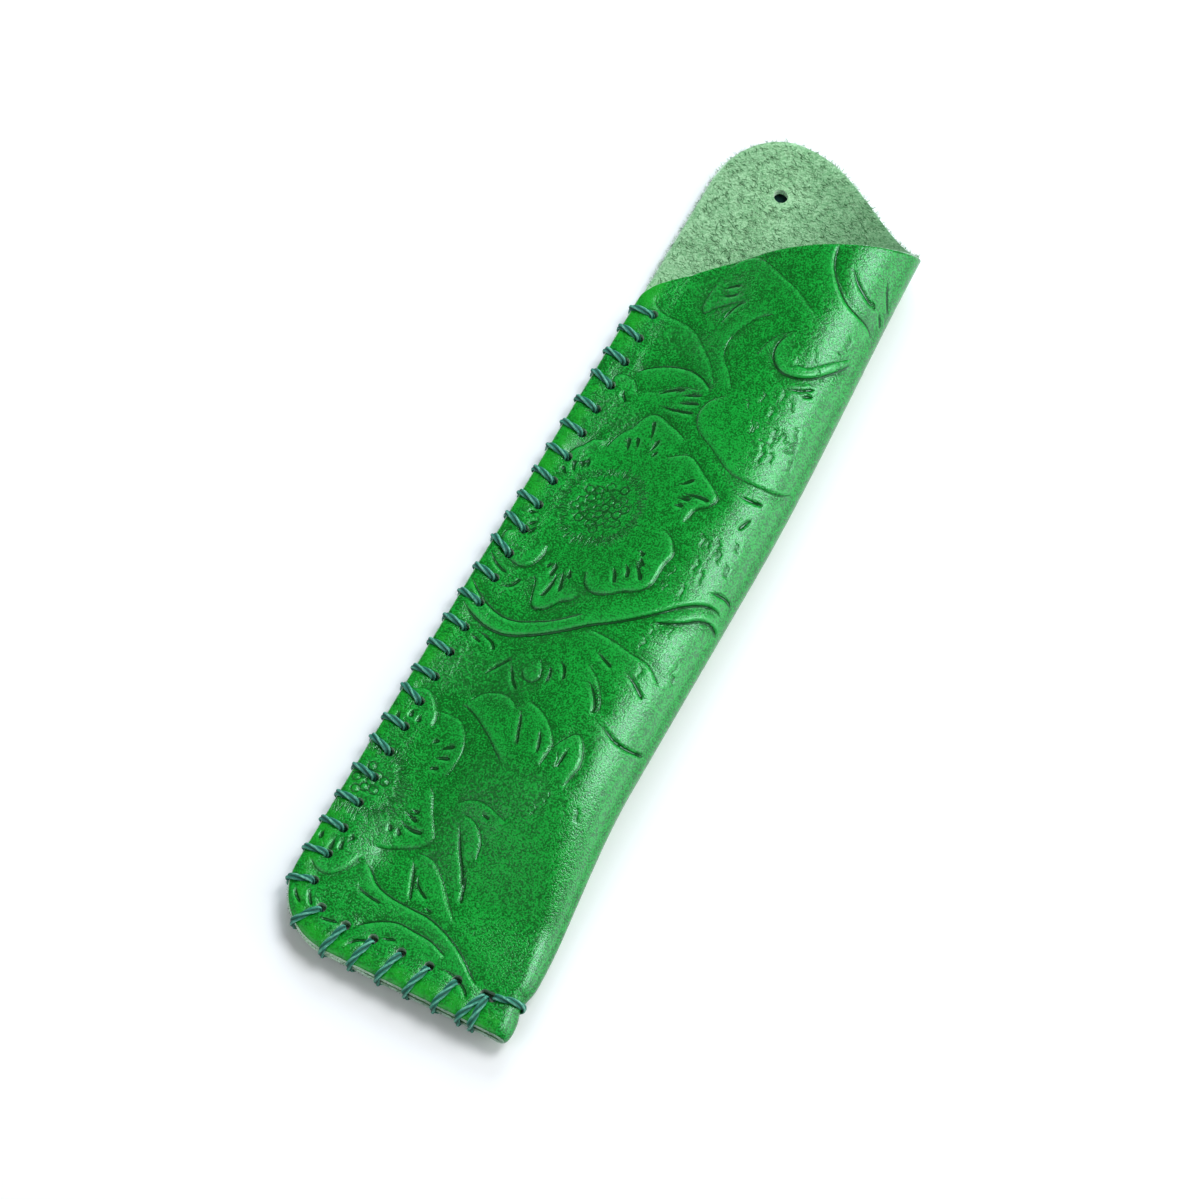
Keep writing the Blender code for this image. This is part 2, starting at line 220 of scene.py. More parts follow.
# %% The hide's sizes
hide_low, hide_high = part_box("leather_body")
CASE_LENGTH = hide_high.y - hide_low.y
FOOT_Y = hide_low.y
SEAM_X = hide_low.x
FOOT_WIDTH = 49.9 * MM          # seam edge to the pinched foot of the roll
BODY_WIDTH = 46.9 * MM          # the same across the middle
MOUTH_WIDTH = 43.8 * MM         # the same at the mouth, where the roll stands open
FRONT_LENGTH = 146.0 * MM       # foot to the low corner of the mouth
CORNER_RADIUS = 12.8 * MM       # lower corner on the seam side
MOUTH_RADIUS = 2.4 * MM         # low corner of the mouth, where the front's two edges meet
LEATHER = 1.6 * MM              # thickness of the hide
FOOT_CLEAR = 1.0 * MM           # clear height inside the fold
BODY_CLEAR = 8.8 * MM
MOUTH_CLEAR = 12.0 * MM
FOOT_ROUND = 1.0 * MM           # how far the inside of the fold bulges sideways
BODY_ROUND = 9.0 * MM
MOUTH_ROUND = 9.5 * MM
PINCH_START = 4.7 * MM          # the pinched foot ends here, above the bottom edge
PINCH_LENGTH = 48.0 * MM        # and the roll has swelled to the body after this length
FLARE_START = 101.7 * MM        # the mouth begins to open here
FLARE_LENGTH = 85.0 * MM
THREAD = 1.0 * MM               # diameter of the waxed thread
CLEARANCE = 0.3 * MM            # between the two layers of leather
STITCH_PITCH = 5.7 * MM
SIDE_MARGIN = 4.2 * MM          # hole row to the side edge
BOTTOM_MARGIN = 5.8 * MM        # hole row to the bottom edge
FIRST_HOLE_DROP = 4.4 * MM      # low corner of the mouth to the first hole
LAST_HOLE_INSET = 7.6 * MM      # foot of the roll to the last hole
LAST_SLOT = 1.45 * THREAD       # and that hole is stretched this far, for the loop
STITCH_LEAN = 1.5 * MM          # how far a bottom stitch leans back towards the corner
LOOP_RISE = 1.4 * MM            # the loop climbs this far between its hole and the fold
LOOP_BITE = 0.9 * MM            # and dents the fold this deep
LOOP_BITE_SPREAD = 2.6 * MM
LIFT_BEYOND_HOLES = 1.5 * MM    # the lifted edges reach this far inside the side row
LIFT_ABOVE_HOLES = 3.5 * MM     # and this far above the bottom row
SIDE_FADE = 10.5 * MM
BOTTOM_FADE = 13.0 * MM
FRONT_BAND = 2.5 * MM           # the front lies flat on the back this far inside the side row
FRONT_FULLNESS = 0.75           # below 1 the front climbs sooner, and is flatter near the crest
HANG_HOLE = 2.75 * MM
HANG_HOLE_DROP = 11.9 * MM      # below the top of the tongue
HANG_HOLE_INSET = 12.9 * MM     # from the seam edge
HANG_PLACE = (SEAM_X + HANG_HOLE_INSET, FOOT_Y + CASE_LENGTH - HANG_HOLE_DROP)
MOUTH_CURVE_SHARES = ((0.0, 0.665), (0.38, 0.39), (0.64, 0.45), (1.0, 0.0))
TONGUE_CURVE_SHARES = ((0.0, 0.665), (0.3, 0.815), (0.5, 1.0), (0.68, 1.0))
TONGUE_SIDE_SHARE = 0.654
CURVE_SAMPLES = 600

MOUTH_CORNER_Y = FOOT_Y + FRONT_LENGTH
TONGUE_RISE = CASE_LENGTH - FRONT_LENGTH
MOUTH_MIDDLE_Y = MOUTH_CORNER_Y + TONGUE_RISE / 2
SEAM_LIFT = THREAD + 2 * CLEARANCE
CORNER_X = SEAM_X + CORNER_RADIUS
CORNER_Y = FOOT_Y + CORNER_RADIUS
SIDE_ROW_X = SEAM_X + SIDE_MARGIN
BOTTOM_ROW_Y = FOOT_Y + BOTTOM_MARGIN
LAST_HOLE_X = SEAM_X + FOOT_WIDTH - LAST_HOLE_INSET
LOOP_HOLE_X = LAST_HOLE_X + LAST_SLOT
LOOP_Y = BOTTOM_ROW_Y + LOOP_RISE
print("hide, mm", round(CASE_LENGTH / MM, 1), "long,", round(LEATHER / MM, 1), "thick")

# %% [markdown]
# ## Floor and light
# The case lies on a plain white sweep. A small softbox high on the right makes the pale band along
# the roll, a wide one and a low strip fill from the right, and a cool one low behind the tongue
# lets a broad soft shadow fall in front of the foot. A weak one in front and a dim white surround
# lighten that shadow. The floor's white is its own colour and a little glow that only the camera
# sees. Below the tongue's hang hole the floor carries a small dark spot of painted shade.

# %% Floor and light
WHITE = (1.0, 1.0, 1.0, 1.0)
FLOOR_HALF = 3.0
FLOOR_DROP = 0.1 * MM           # just under the case, so the two faces don't fight
FLOOR_COLOUR = (0.875, 0.903, 0.93, 1.0)
# painted shade: the floor is painted dark in a small spot under the tongue's hang hole
FLOOR_PAINTED_SHADE = shade(26, 52, 52)  # where the tongue's small hole lets no light down
FLOOR_GLOW = 0.05
PAINTED_SHADE_SPOT = (2 * MM, 3 * MM)    # that dark spot ends between these distances from the hole
COVERED = (0.40, 0.54)          # and it needs this much cover within COVER_REACH
COVER_REACH = 4 * MM
SURROUND = 0.14                 # strength of the white surround on everything but the camera
SOFTBOXES = (
    # name, azimuth, elevation, distance, size, watts
    ("key softbox", 142, 61, 1.3, 0.52, 10.3), ("right softbox", 110, 33, 1.2, 0.9, 5.2),
    ("side strip", 112, 14, 1.2, 0.8, 3.0), ("back softbox", 197, 31, 1.4, 0.8, 13.0),
    ("front fill", -35, 42, 1.3, 1.0, 3.6),
)
BACK_TINT = (0.8, 0.9, 1.0)


def lay_floor():
    """A large square, whose glow reaches the camera but lights nothing."""
    mesh = bpy.data.meshes.new("floor")
    signs = ((-1, -1), (1, -1), (1, 1), (-1, 1))
    mesh.from_pydata([(x * FLOOR_HALF, y * FLOOR_HALF, -FLOOR_DROP) for x, y in signs], [],
                     [(0, 1, 2, 3)])
    floor = linked("floor", mesh)
    paper = Finish("white paper", Roughness=1.0, Specular_IOR_Level=0.0)
    # painted shade: where the floor lies under the hang hole and is covered close by, its colour
    # and glow go dark
    cover = paper.node("AmbientOcclusion", {"samples": 32}, {"Distance": COVER_REACH}, "AO")
    ends = {0: paper.place(), 1: (*HANG_PLACE, -FLOOR_DROP)}
    away = paper.node("VectorMath", {"operation": "DISTANCE"}, ends, "Value")
    below_hole = 1.0 - paper.step(away, *PAINTED_SHADE_SPOT)
    outside_painted_shade = 1.0 - (1.0 - paper.step(cover, *COVERED)) * below_hole
    paper.feed("Base Color", paper.mix(outside_painted_shade, FLOOR_PAINTED_SHADE, FLOOR_COLOUR))
    glow = paper.node("LightPath", {}, {}, "Is Camera Ray") * outside_painted_shade * FLOOR_GLOW
    lit = paper.node("Emission", {}, {"Strength": glow, "Color": WHITE})
    both = paper.node("AddShader", {}, {0: Wire(paper.tree, paper.shader.outputs[0]), 1: lit})
    plug(paper.tree, paper.tree.nodes["Material Output"].inputs["Surface"], both)
    mesh.materials.append(paper.material)


def hang_softbox(name, azimuth, elevation, distance, size, watts):
    """A square softbox on a sphere round the case, facing it."""
    lamp = bpy.data.lights.new(name, "AREA")
    lamp.size, lamp.energy = size, watts
    return hung(name, lamp, azimuth, elevation, distance)


def light_surround():
    """A white surround: full white to the camera, dimmer for everything else."""
    world = bpy.data.worlds.new("surround")
    bpy.context.scene.world = world
    world.use_nodes = True
    tree = world.node_tree
    seen = Wire(tree, tree.nodes.new("ShaderNodeLightPath").outputs["Is Camera Ray"])
    background = tree.nodes["Background"]
    background.inputs["Color"].default_value = WHITE
    plug(tree, background.inputs["Strength"], seen * (1.0 - SURROUND) + SURROUND)


lay_floor()
boxes = {box[0]: hang_softbox(*box) for box in SOFTBOXES}
boxes["back softbox"].data.color = BACK_TINT
boxes["back softbox"].visible_glossy = False    # it puts no shine on the leather
light_surround()
print("floor and", len(boxes), "softboxes are set")

# %% [markdown]
# ## The cross-section
# Cut across, the folded hide is a flat back, a half ellipse for the roll, and a front that eases
# down from the roll's crest to lie on the back along the seam. A loft between drawn profiles
# could make it. A formula is easier to refine: one number, the station, runs 0 to 1 along the
# front, to 2 round the roll and to 3 along the back, and y runs along the case.

# %% The cross-section
SLOPE_STEP = 0.0005             # of a station, for measuring the section's slope


def ease(share):
    """A smooth step from 0 to 1: three times the square less twice the cube."""
    t = np.clip(share, 0.0, 1.0)
    return t * t * (3 - 2 * t)


def along_case(y, foot, body, mouth):
    """A size that eases from its value at the foot to the body's, and on to the mouth's."""
    pinch = ease((FOOT_Y + PINCH_START + PINCH_LENGTH - y) / PINCH_LENGTH)
    flare = ease((y - FOOT_Y - FLARE_START) / FLARE_LENGTH)
    return body + (foot - body) * pinch + (mouth - body) * flare


def fold_x(y):
    """The outermost x of the roll, dented where the loop bites."""
    bite = LOOP_BITE * np.exp(-((y - LOOP_Y) / LOOP_BITE_SPREAD) ** 2)
    return SEAM_X + along_case(y, FOOT_WIDTH, BODY_WIDTH, MOUTH_WIDTH) - bite


def clear_height(y):
    """The clear height inside the roll."""
    return along_case(y, FOOT_CLEAR, BODY_CLEAR, MOUTH_CLEAR)


def roll_start_x(y):
    """Where the flat back turns up into the roll."""
    return fold_x(y) - LEATHER - along_case(y, FOOT_ROUND, BODY_ROUND, MOUTH_ROUND)


def lift(x, y):
    """How high the back stands off the table: raised along the side and the foot."""
    side = ease((SIDE_ROW_X + LIFT_BEYOND_HOLES + SIDE_FADE - x) / SIDE_FADE)
    foot = ease((BOTTOM_ROW_Y + LIFT_ABOVE_HOLES + BOTTOM_FADE - y) / BOTTOM_FADE)
    return SEAM_LIFT * (1 - (1 - side) * (1 - foot))


def front_rise(x, y):
    """How far the front has climbed towards the roll's crest, from 0 to 1."""
    band_x = SIDE_ROW_X + FRONT_BAND
    share = np.clip((x - band_x) / (roll_start_x(y) - band_x), 0.0, 1.0)
    return ease(share ** FRONT_FULLNESS)


def flesh_section(station, y):
    """The flesh side, as x and z: line, half ellipse, line."""
    start = roll_start_x(y)
    turn = np.pi * np.clip(station - 1, 0.0, 1.0)
    front_x = SEAM_X + (start - SEAM_X) * station
    roll_x = start + (fold_x(y) - LEATHER - start) * np.sin(turn)
    back_x = start + (SEAM_X - start) * (station - 2)
    x = np.where(station < 1, front_x, np.where(station < 2, roll_x, back_x))
    front_z = CLEARANCE + (clear_height(y) - CLEARANCE) * front_rise(x, y)
    roll_z = clear_height(y) / 2 * (1 + np.cos(turn))
    inner = np.where(station < 1, front_z, np.where(station < 2, roll_z, 0.0))
    return x, lift(x, y) + LEATHER + inner


def outward(station, y):
    """The unit direction out of the hide in its cross-section, as x and z."""
    (x0, z0), (x1, z1) = (flesh_section(np.clip(station + step, 0.0, 3.0), y)
                          for step in (-SLOPE_STEP, SLOPE_STEP))
    length = np.hypot(x1 - x0, z1 - z0)
    return -(z1 - z0) / length, (x1 - x0) / length


def unit_rows(vectors):
    """Each row of an array as a direction of length one."""
    return vectors / np.linalg.norm(vectors, axis=1)[:, None]


def lengths_along(line):
    """How far along a line each of its points is."""
    return np.pad(np.cumsum(np.linalg.norm(np.diff(line, axis=0), axis=1)), (1, 0))


def hide_points(station, y, height):
    """Points at a height above the flesh side, square to the cross-section: x, y and z."""
    x, z = flesh_section(station, y)
    out_x, out_z = outward(station, y)
    return np.stack((x + height * out_x, y + 0.0 * x, z + height * out_z), axis=-1)


# %% [markdown]
# The tooling is drawn on flat leather before it is folded, so its places are measured along the
# grain side from the seam edge of the front. Two tables turn that arc length into a station and
# back again. They are worked out once, and every point then looks its own value up.

# %% Unrolling the hide
TABLE_Y = np.linspace(FOOT_Y, FOOT_Y + CASE_LENGTH, 320)
TABLE_STATION = np.linspace(0.0, 3.0, 1201)
TABLE_ARC = np.linspace(0.0, 125 * MM, 501)


def arc_lengths():
    """Arc length on the grain side for each y and station of the tables."""
    station, y = np.meshgrid(TABLE_STATION, TABLE_Y)
    points = hide_points(station, y, LEATHER)
    steps = np.linalg.norm(np.diff(points, axis=1), axis=2)
    return np.pad(np.cumsum(steps, axis=1), ((0, 0), (1, 0)))


def look_up(table, across, value, y):
    """A table's value between its four nearest entries."""
    i = (y - TABLE_Y[0]) / (TABLE_Y[1] - TABLE_Y[0])
    j = value / (across[1] - across[0])
    i0 = np.clip(i.astype(int), 0, len(TABLE_Y) - 2)
    j0 = np.clip(j.astype(int), 0, len(across) - 2)
    i, j = np.clip(i - i0, 0.0, 1.0), np.clip(j - j0, 0.0, 1.0)
    near = table[i0, j0] * (1 - j) + table[i0, j0 + 1] * j
    far = table[i0 + 1, j0] * (1 - j) + table[i0 + 1, j0 + 1] * j
    return near * (1 - i) + far * i


ARC_OF_STATION = arc_lengths()
STATION_OF_ARC = np.array([np.interp(TABLE_ARC, row, TABLE_STATION) for row in ARC_OF_STATION])
middle_row = ARC_OF_STATION[len(TABLE_Y) // 2]
print("unrolled, the hide is", round(middle_row[-1] / MM, 1), "mm wide at mid-length")


def station_at(arc, y):
    """The station where the arc from the front's seam edge has this length."""
    return look_up(STATION_OF_ARC, TABLE_ARC, arc, y)


def arc_at(station, y):
    """The arc length from the front's seam edge to a station."""
    return look_up(ARC_OF_STATION, TABLE_STATION, station, y)


# %% [markdown]
# ## The outline
# The bottom edge is straight with one round corner. The top edge is cut in one sweep when the
# leather is flat: it falls from the tip of the roll to the low corner of the mouth on the front,
# and climbs round the tongue on the back.

# %% The outline


def bottom_y(x):
    """The bottom edge, with its round corner on the seam side."""
    reach = np.clip((CORNER_X - x) / CORNER_RADIUS, 0.0, 1.0)
    return FOOT_Y + CORNER_RADIUS * (1 - np.sqrt(1 - reach ** 2))


def bezier(shares, t):
    """Points on a cubic curve through its four control points."""
    a, b, c, d = (np.array(point) for point in shares)
    t = t[:, None]
    return (1 - t) ** 3 * a + 3 * (1 - t) ** 2 * t * b + 3 * (1 - t) * t ** 2 * c + t ** 3 * d


def top_y(station):
    """The top edge over each station: a cubic curve, and an arc at the tongue's seam side."""
    every = np.linspace(0.0, 3.0, CURVE_SAMPLES)
    flesh = np.stack(flesh_section(every, np.full(CURVE_SAMPLES, MOUTH_MIDDLE_Y)), axis=1)
    length = lengths_along(flesh)
    tip = np.interp(1.5, every, length)
    at = np.interp(station, every, length)
    share = np.where(at < tip, (tip - at) / tip, (at - tip) / (length[-1] - tip))
    t = np.linspace(0.0, 1.0, CURVE_SAMPLES)
    mouth, tongue = bezier(MOUTH_CURVE_SHARES, t), bezier(TONGUE_CURVE_SHARES, t)
    near = np.clip(MOUTH_RADIUS - at, 0.0, MOUTH_RADIUS)
    mouth_rise = np.interp(share, mouth[:, 0], mouth[:, 1])
    mouth_rise -= (MOUTH_RADIUS - np.sqrt(MOUTH_RADIUS ** 2 - near ** 2)) / TONGUE_RISE
    shoulder = TONGUE_CURVE_SHARES[-1][0]
    beyond = np.clip((share - shoulder) / (1 - shoulder), 0.0, 1.0)
    round_side = TONGUE_SIDE_SHARE + (1 - TONGUE_SIDE_SHARE) * np.sqrt(1 - beyond ** 2)
    tongue_rise = np.interp(share, tongue[:, 0], tongue[:, 1])
    tongue_rise = np.where(share > shoulder, round_side, tongue_rise)
    return MOUTH_CORNER_Y + TONGUE_RISE * np.where(station < 1.5, mouth_rise, tongue_rise)


def lay_grid(across, count, rows):
    """Stations and y of a grid whose columns run from the bottom edge to the top edge.

    across(y) gives each column's station at that y; rows are shares of a column's length.
    """
    foot = across(np.full((count, 1), CORNER_Y))[:, 0]
    middle = across(np.full((count, 1), MOUTH_MIDDLE_Y))[:, 0]
    low = bottom_y(flesh_section(foot, np.full(count, CORNER_Y))[0])
    high = top_y(middle)
    y = low[:, None] + (high - low)[:, None] * rows[None, :]
    return across(y), y, high


# %% [markdown]
# ## The stitch holes
# The holes were punched at equal steps along a line that follows the side, the round corner and
# the bottom. Every stitch, dent and punch below starts from these places. The last stitch is sewn
# twice through one hole, and its two passes spread apart on their way to the edge.

# %% The stitch holes
SIDE_LEANS = (-0.3, 0.8, 0.8, 1.4, 0.7, 0.7, 0.7, 1.0, 0.9, 1.6, 2.0, 0.9, 0.7, 0.6, 0.5, 0.2, 1.7,
              0.4, 1.4, 0.6, 0.1, 0.1, -0.5, -0.4)      # millimetres, stitch by stitch
LAST_SPREAD = 0.7 * MM          # the last stitch's first pass leans this much further
LAST_LEAN = 0.3 * MM            # and its second pass leans this far the other way


def hole_centres():
    """Holes at equal steps along the hole row: down the side, round the corner, along the foot."""
    turn = np.linspace(0.0, math.pi / 2, CURVE_SAMPLES)
    corner_x = CORNER_X - (CORNER_RADIUS - SIDE_MARGIN) * np.cos(turn)
    corner_y = CORNER_Y - (CORNER_RADIUS - BOTTOM_MARGIN) * np.sin(turn)
    x = np.concatenate(([SIDE_ROW_X], corner_x, [LAST_HOLE_X]))
    y = np.concatenate(([MOUTH_CORNER_Y - FIRST_HOLE_DROP], corner_y, [BOTTOM_ROW_Y]))
    length = np.pad(np.cumsum(np.hypot(np.diff(x), np.diff(y))), (1, 0))
    at = np.linspace(0.0, length[-1], round(length[-1] / STITCH_PITCH) + 1)
    return np.stack((np.interp(at, length, x), np.interp(at, length, y)), axis=1)


def edge_crossing(hole):
    """Where the stitch from a hole crosses the edge of the hide."""
    if hole[1] >= CORNER_Y:
        return np.array((SEAM_X, hole[1]))
    if hole[0] >= CORNER_X:
        return np.array((hole[0] - STITCH_LEAN, FOOT_Y))
    corner = np.array((CORNER_X, CORNER_Y))
    return corner + CORNER_RADIUS * (hole - corner) / np.linalg.norm(hole - corner)


HOLES = hole_centres()
CROSSINGS = np.array([edge_crossing(hole) for hole in HOLES])
CROSSINGS[:len(SIDE_LEANS), 1] += np.array(SIDE_LEANS) * MM
CROSSINGS[-1, 0] -= LAST_SPREAD
STARTS = np.vstack((HOLES, HOLES[-1:] + (THREAD / 2, 0.0)))
ENDS = np.vstack((CROSSINGS, (HOLES[-1, 0] + LAST_LEAN, FOOT_Y)))
print(len(HOLES), "stitch holes, and the last one is sewn twice")

# %% [markdown]
# ## The tooling
# The front carries traditional floral carving: two open flowers with beaded centres, scrolled
# vines and pointed leaves. A carver cuts each line with a swivel knife, then bevels the leather
# down on its outer side, so a petal stands proud of the ground. Sculpting it by hand would be
# slow to change. Here each line is a smooth curve through a few listed places: its numbers
# are millimetres across and along the unrolled leather, in turn. The relief is worked out from
# the distance to the lines. The raised side of an edge is on the right as it is drawn.

# %% The drawn lines
FLOWER_EDGES = (
    (9.6, 16.5, 9.9, 19.2, 10.8, 21.8, 12.2, 23.8, 13, 26, 14.3, 27.5, 16.2, 27.6, 19, 26.4,
     22.4, 24.9, 24.4, 23.4),
    (21.6, 19, 24, 20.6, 26.4, 21.2, 28.6, 20.2, 31.4, 18.2, 34, 16.6, 35.6, 14.8, 34.8, 12.8,
     32.9, 11.2, 32.3, 9, 31.8, 7.2),
    (28, 5.4, 30.8, 4.7, 32.6, 3, 33.6, 0.9, 33.1, -1.2, 33, -3.6, 32.9, -6, 31.4, -8.2,
     28.4, -9.6, 25.8, -11.2, 22.9, -11.7, 20.8, -10.5, 19.8, -8.6, 19.6, -6.6),
    (21.2, -12.8, 19.8, -14.4, 18, -15.4, 16.4, -17.2, 14.2, -18.2, 12.8, -17.4, 12, -15.2,
     11.3, -12.9, 10, -11.4),
    (9.9, -4.8, 10, -7.6, 9, -10.2, 7.4, -11.3, 5, -11, 2.8, -9.6, 1.4, -7.8, 1.5, -5.8,
     3.2, -4.9),
    (3.6, 13.2, 4.6, 15.2, 5.7, 16.7, 6.8, 18.5, 8.9, 19.3),
)
FLOWER_CUTS = (
    (17.3, 21, 16.9, 22.8, 16.3, 24.6, 15.7, 26.2), (15.5, 19, 14.9, 20.8, 14.3, 22),
    (14, 17.8, 13.3, 20, 12.8, 21.4), (17.9, 18.8, 18.5, 20.6, 18.8, 22.6), (19.1, 18.6, 19.7, 20),
    (26.8, 14.4, 28.2, 15.4, 29.8, 16.9), (27.6, 13.1, 30.4, 13.6, 33, 13.8, 34.6, 13.6),
    (28, 12.2, 31, 12.6), (28.2, 10.6, 30.4, 11), (23.8, -4.6, 25.2, -6.6, 26.2, -8.6),
    (25.6, -3.4, 27.2, -5, 27.9, -6.8), (27, -2.6, 29, -4.2, 30.7, -6.4), (27.9, -1.6, 29.6, -3.4),
    (27.2, -0.2, 28.6, -1.4), (12.4, -7, 13.4, -8.8, 13.3, -11), (12.2, -8, 11.9, -9.4),
    (14, -8, 14.5, -11, 14.3, -14, 13.7, -15.6), (14.9, -8.2, 16, -11, 16.8, -13.6),
    (16.2, -7.8, 17.2, -10.4), (6, -1.4, 4.6, -2.8), (6.4, -2.2, 5.3, -4.6), (5, 0.2, 3.4, -0.6),
    (7.6, 10.4, 6.5, 11, 5.8, 12.9), (8, 11.5, 7.1, 13.4), (8.8, 12, 8, 14.2),
    (6.4, 9.2, 5.2, 9.8, 4.4, 10.8),
)
LOWER_FLOWER_EDGES = (
    (1.6, -42.2, 4.2, -41.1, 6.3, -42.2, 8.3, -44.8, 8.9, -47.9),
    (7.8, -44.3, 10.4, -43.8, 13.5, -44.5, 15.6, -47.4, 16.4, -50, 16.4, -53.6, 15.6, -56.3),
    (13.8, -57.8, 15.6, -59.4, 17.2, -62.5, 19.3, -65.6, 19.8, -67.2, 18.5, -69.3, 15.6, -70.8,
     12.5, -72.4, 10.2, -72.9),
    (9.9, -75.5, 8.9, -78.6, 6.8, -81.3, 4.2, -81.8, 1.6, -80.2),
)
LOWER_FLOWER_CUTS = (
    (2, -47, 2.1, -49), (4, -45.6, 4.2, -47.6), (5.9, -46, 5.9, -48), (10.2, -50.6, 11.2, -49.3),
    (11.6, -51.6, 13.2, -50.2, 14.7, -49.3), (11.6, -53, 13.2, -52.4, 15, -51.9),
    (11.8, -55.1, 13.8, -54.4), (11.8, -65.4, 13.4, -66.6, 15.6, -67, 17.6, -66.8),
    (11.9, -64.2, 13.8, -64.7, 15.4, -65.3), (13, -63.4, 14.9, -63.5), (12.6, -67.2, 13.8, -69),
    (10.9, -67.2, 12, -69), (1.4, -74, 1.4, -76.2), (3.9, -74, 4.1, -78), (5.3, -73.9, 5.8, -76.6),
    (6.4, -72.4, 6.8, -74),
)
VINE_EDGES = (
    (0, -17, 3, -19.4, 6, -21, 9.4, -21.9, 12.2, -21.7, 15.2, -20.7, 18.6, -19.5, 21, -18.1,
     24.5, -15.8),
    (49, -5.8, 46.8, -4.9, 44.6, -4.8, 42.4, -5.8, 40, -7.6, 37.6, -10, 35.2, -12.2, 32, -14.7,
     29, -16.6, 26, -18.2, 22.9, -20.3, 19, -22.4, 15, -24, 11.4, -25.2, 7.9, -25.2, 4.6, -24.3,
     2.2, -23, 0, -21.2),
    (49, -8.6, 46.6, -7.6, 44.2, -8.2, 41.8, -10.2, 39.2, -11.8, 36.6, -12.9),
    (32.4, 72.6, 32.9, 69.8, 34.1, 67, 36.2, 64.2, 38.8, 62, 41.4, 61, 44.8, 60.3, 48, 58.6),
    (46, 52.6, 44.4, 50, 42.6, 47.6, 40.5, 45.3, 38, 43.8, 35.5, 43.3, 33.4, 43.8, 31.8, 45.3,
     31, 47.6, 31.4, 49.9, 32.8, 51.6),
    (6.9, 34.4, 8.6, 36.2, 11.2, 37.7, 14.2, 38.5, 17.2, 38.4, 20, 37.5, 22.3, 36.1, 23.7, 34.8),
    (10.4, -76, 12.5, -77, 15.1, -79.2, 18.2, -80.2, 21.9, -80.5, 26, -80.7, 29.2, -81.5,
     32.3, -82.8, 35.4, -84.6, 38.5, -87, 41.1, -88.8),
    (15.1, -88.5, 17.2, -86.5, 19.8, -84.9, 22.4, -84.1, 26, -84.3, 29.2, -84.6, 33.3, -86.2),
)
VINE_CUTS = (
    (42, -2.6, 44.4, -1.9, 46.8, -1.7, 48.4, -2.2),
    (11.5, -79.7, 12.5, -81.3, 15.1, -82, 17.7, -82.3), (20.3, -88.3, 23.4, -87.2),
    (15.6, -93, 16.1, -91.6, 17.2, -90.4, 18.8, -89.6),
    (31.3, -88.8, 33.3, -88.3, 35.9, -88.5, 38.5, -89.8, 39.9, -91.4),
    (2.1, -86, 3, -87.6, 4.6, -88.9), (4.8, -85.4, 5.4, -86.9, 6.6, -88.4),
    (8, -89.6, 10, -89.5, 12.4, -89), (0.4, -10.4, 2.2, -12.2, 4.2, -13.3, 6, -13.7),
    (5, -16.8, 7.6, -15.6, 8.8, -13.4), (36.2, 70.4, 37.6, 68.2, 39.6, 66.2, 42, 64.8, 44, 64),
    (43, 65.4, 44.4, 64.2), (45.4, 64.5, 47.8, 62.2),
    (43.6, 72.6, 44.5, 69.8, 46.2, 67.3, 48.2, 65.3),
)
UPPER_EDGES = (
    (12.4, 61, 13.6, 63.3, 15.8, 65, 18.5, 65.2, 22, 63.8, 25.4, 62.2, 29.6, 60.3, 33.6, 57.8,
     36.2, 56.6),
    (20.8, 56.6, 19, 55, 16.6, 53.9, 14.5, 52.6, 13.2, 51, 12.1, 52, 11.8, 55.2, 12.2, 58.4),
    (28.2, 54.3, 25.8, 53.2, 24, 51.5, 22.6, 49.5, 21.6, 47.2, 21.5, 45.3, 22.1, 43.2, 23.4, 41.5,
     25, 39.8, 26.5, 37.8, 27.5, 35.8),
    (28.3, 44.8, 28.8, 47.6, 30.1, 50.1, 32, 51.6, 33.4, 52.2),
    (35.4, 46, 38.2, 46.4, 39.8, 47.8, 41.8, 49.9, 43.6, 51.6, 44.8, 53),
    (2.3, 51.5, 3.8, 49.2, 6.5, 48.1, 10, 47.9, 13, 46.9, 15.4, 45.2, 18.2, 42.8, 20.8, 40.2,
     22.8, 37.4, 24.4, 35.4),
    (10.4, 31.8, 12.6, 32.2, 14.6, 33.6, 17, 34.6, 19.6, 34.8, 21.4, 34.4),
    (4.2, 30, 3.9, 32, 4.9, 33.1, 7.3, 33.1, 8.9, 31.6, 9.9, 30),
    (48.4, 24.2, 46.4, 22.4, 44.2, 21.2, 41.4, 20.7, 38.4, 20.4, 35.2, 20.7, 32.2, 22.2,
     29.2, 24.2, 26.4, 25.8, 24.3, 27.7, 23.4, 30.2, 23.8, 32.6, 25.8, 34.6, 28.4, 35.6),
)
UPPER_CUTS = (
    (13.8, 56.4, 14.6, 57.5, 16.1, 58.3, 17.6, 58.5), (13.8, 56.3, 15, 55.8, 16.4, 56, 18, 56.7),
    (17.9, 48.6, 17.8, 51.3, 18.9, 54, 20.4, 55.6), (36, 41, 38.6, 41.4, 41.6, 43.4),
    (39.6, 40.6, 41.8, 41.8), (12.6, 30.4, 14, 32.4, 16.2, 33.6, 18.6, 34),
    (17.2, 32.6, 19.8, 33.2, 22.4, 33.8), (17.4, 30.9, 20, 31.4, 22.8, 32),
    (13.2, 30, 16.6, 29.5, 20, 29.5, 23, 29.8), (7, 30.6, 7.3, 29.2, 8.4, 27.9),
    (37.6, 17.4, 40.6, 17.4, 43.6, 18), (43, 14.9, 41.7, 11.3),
)
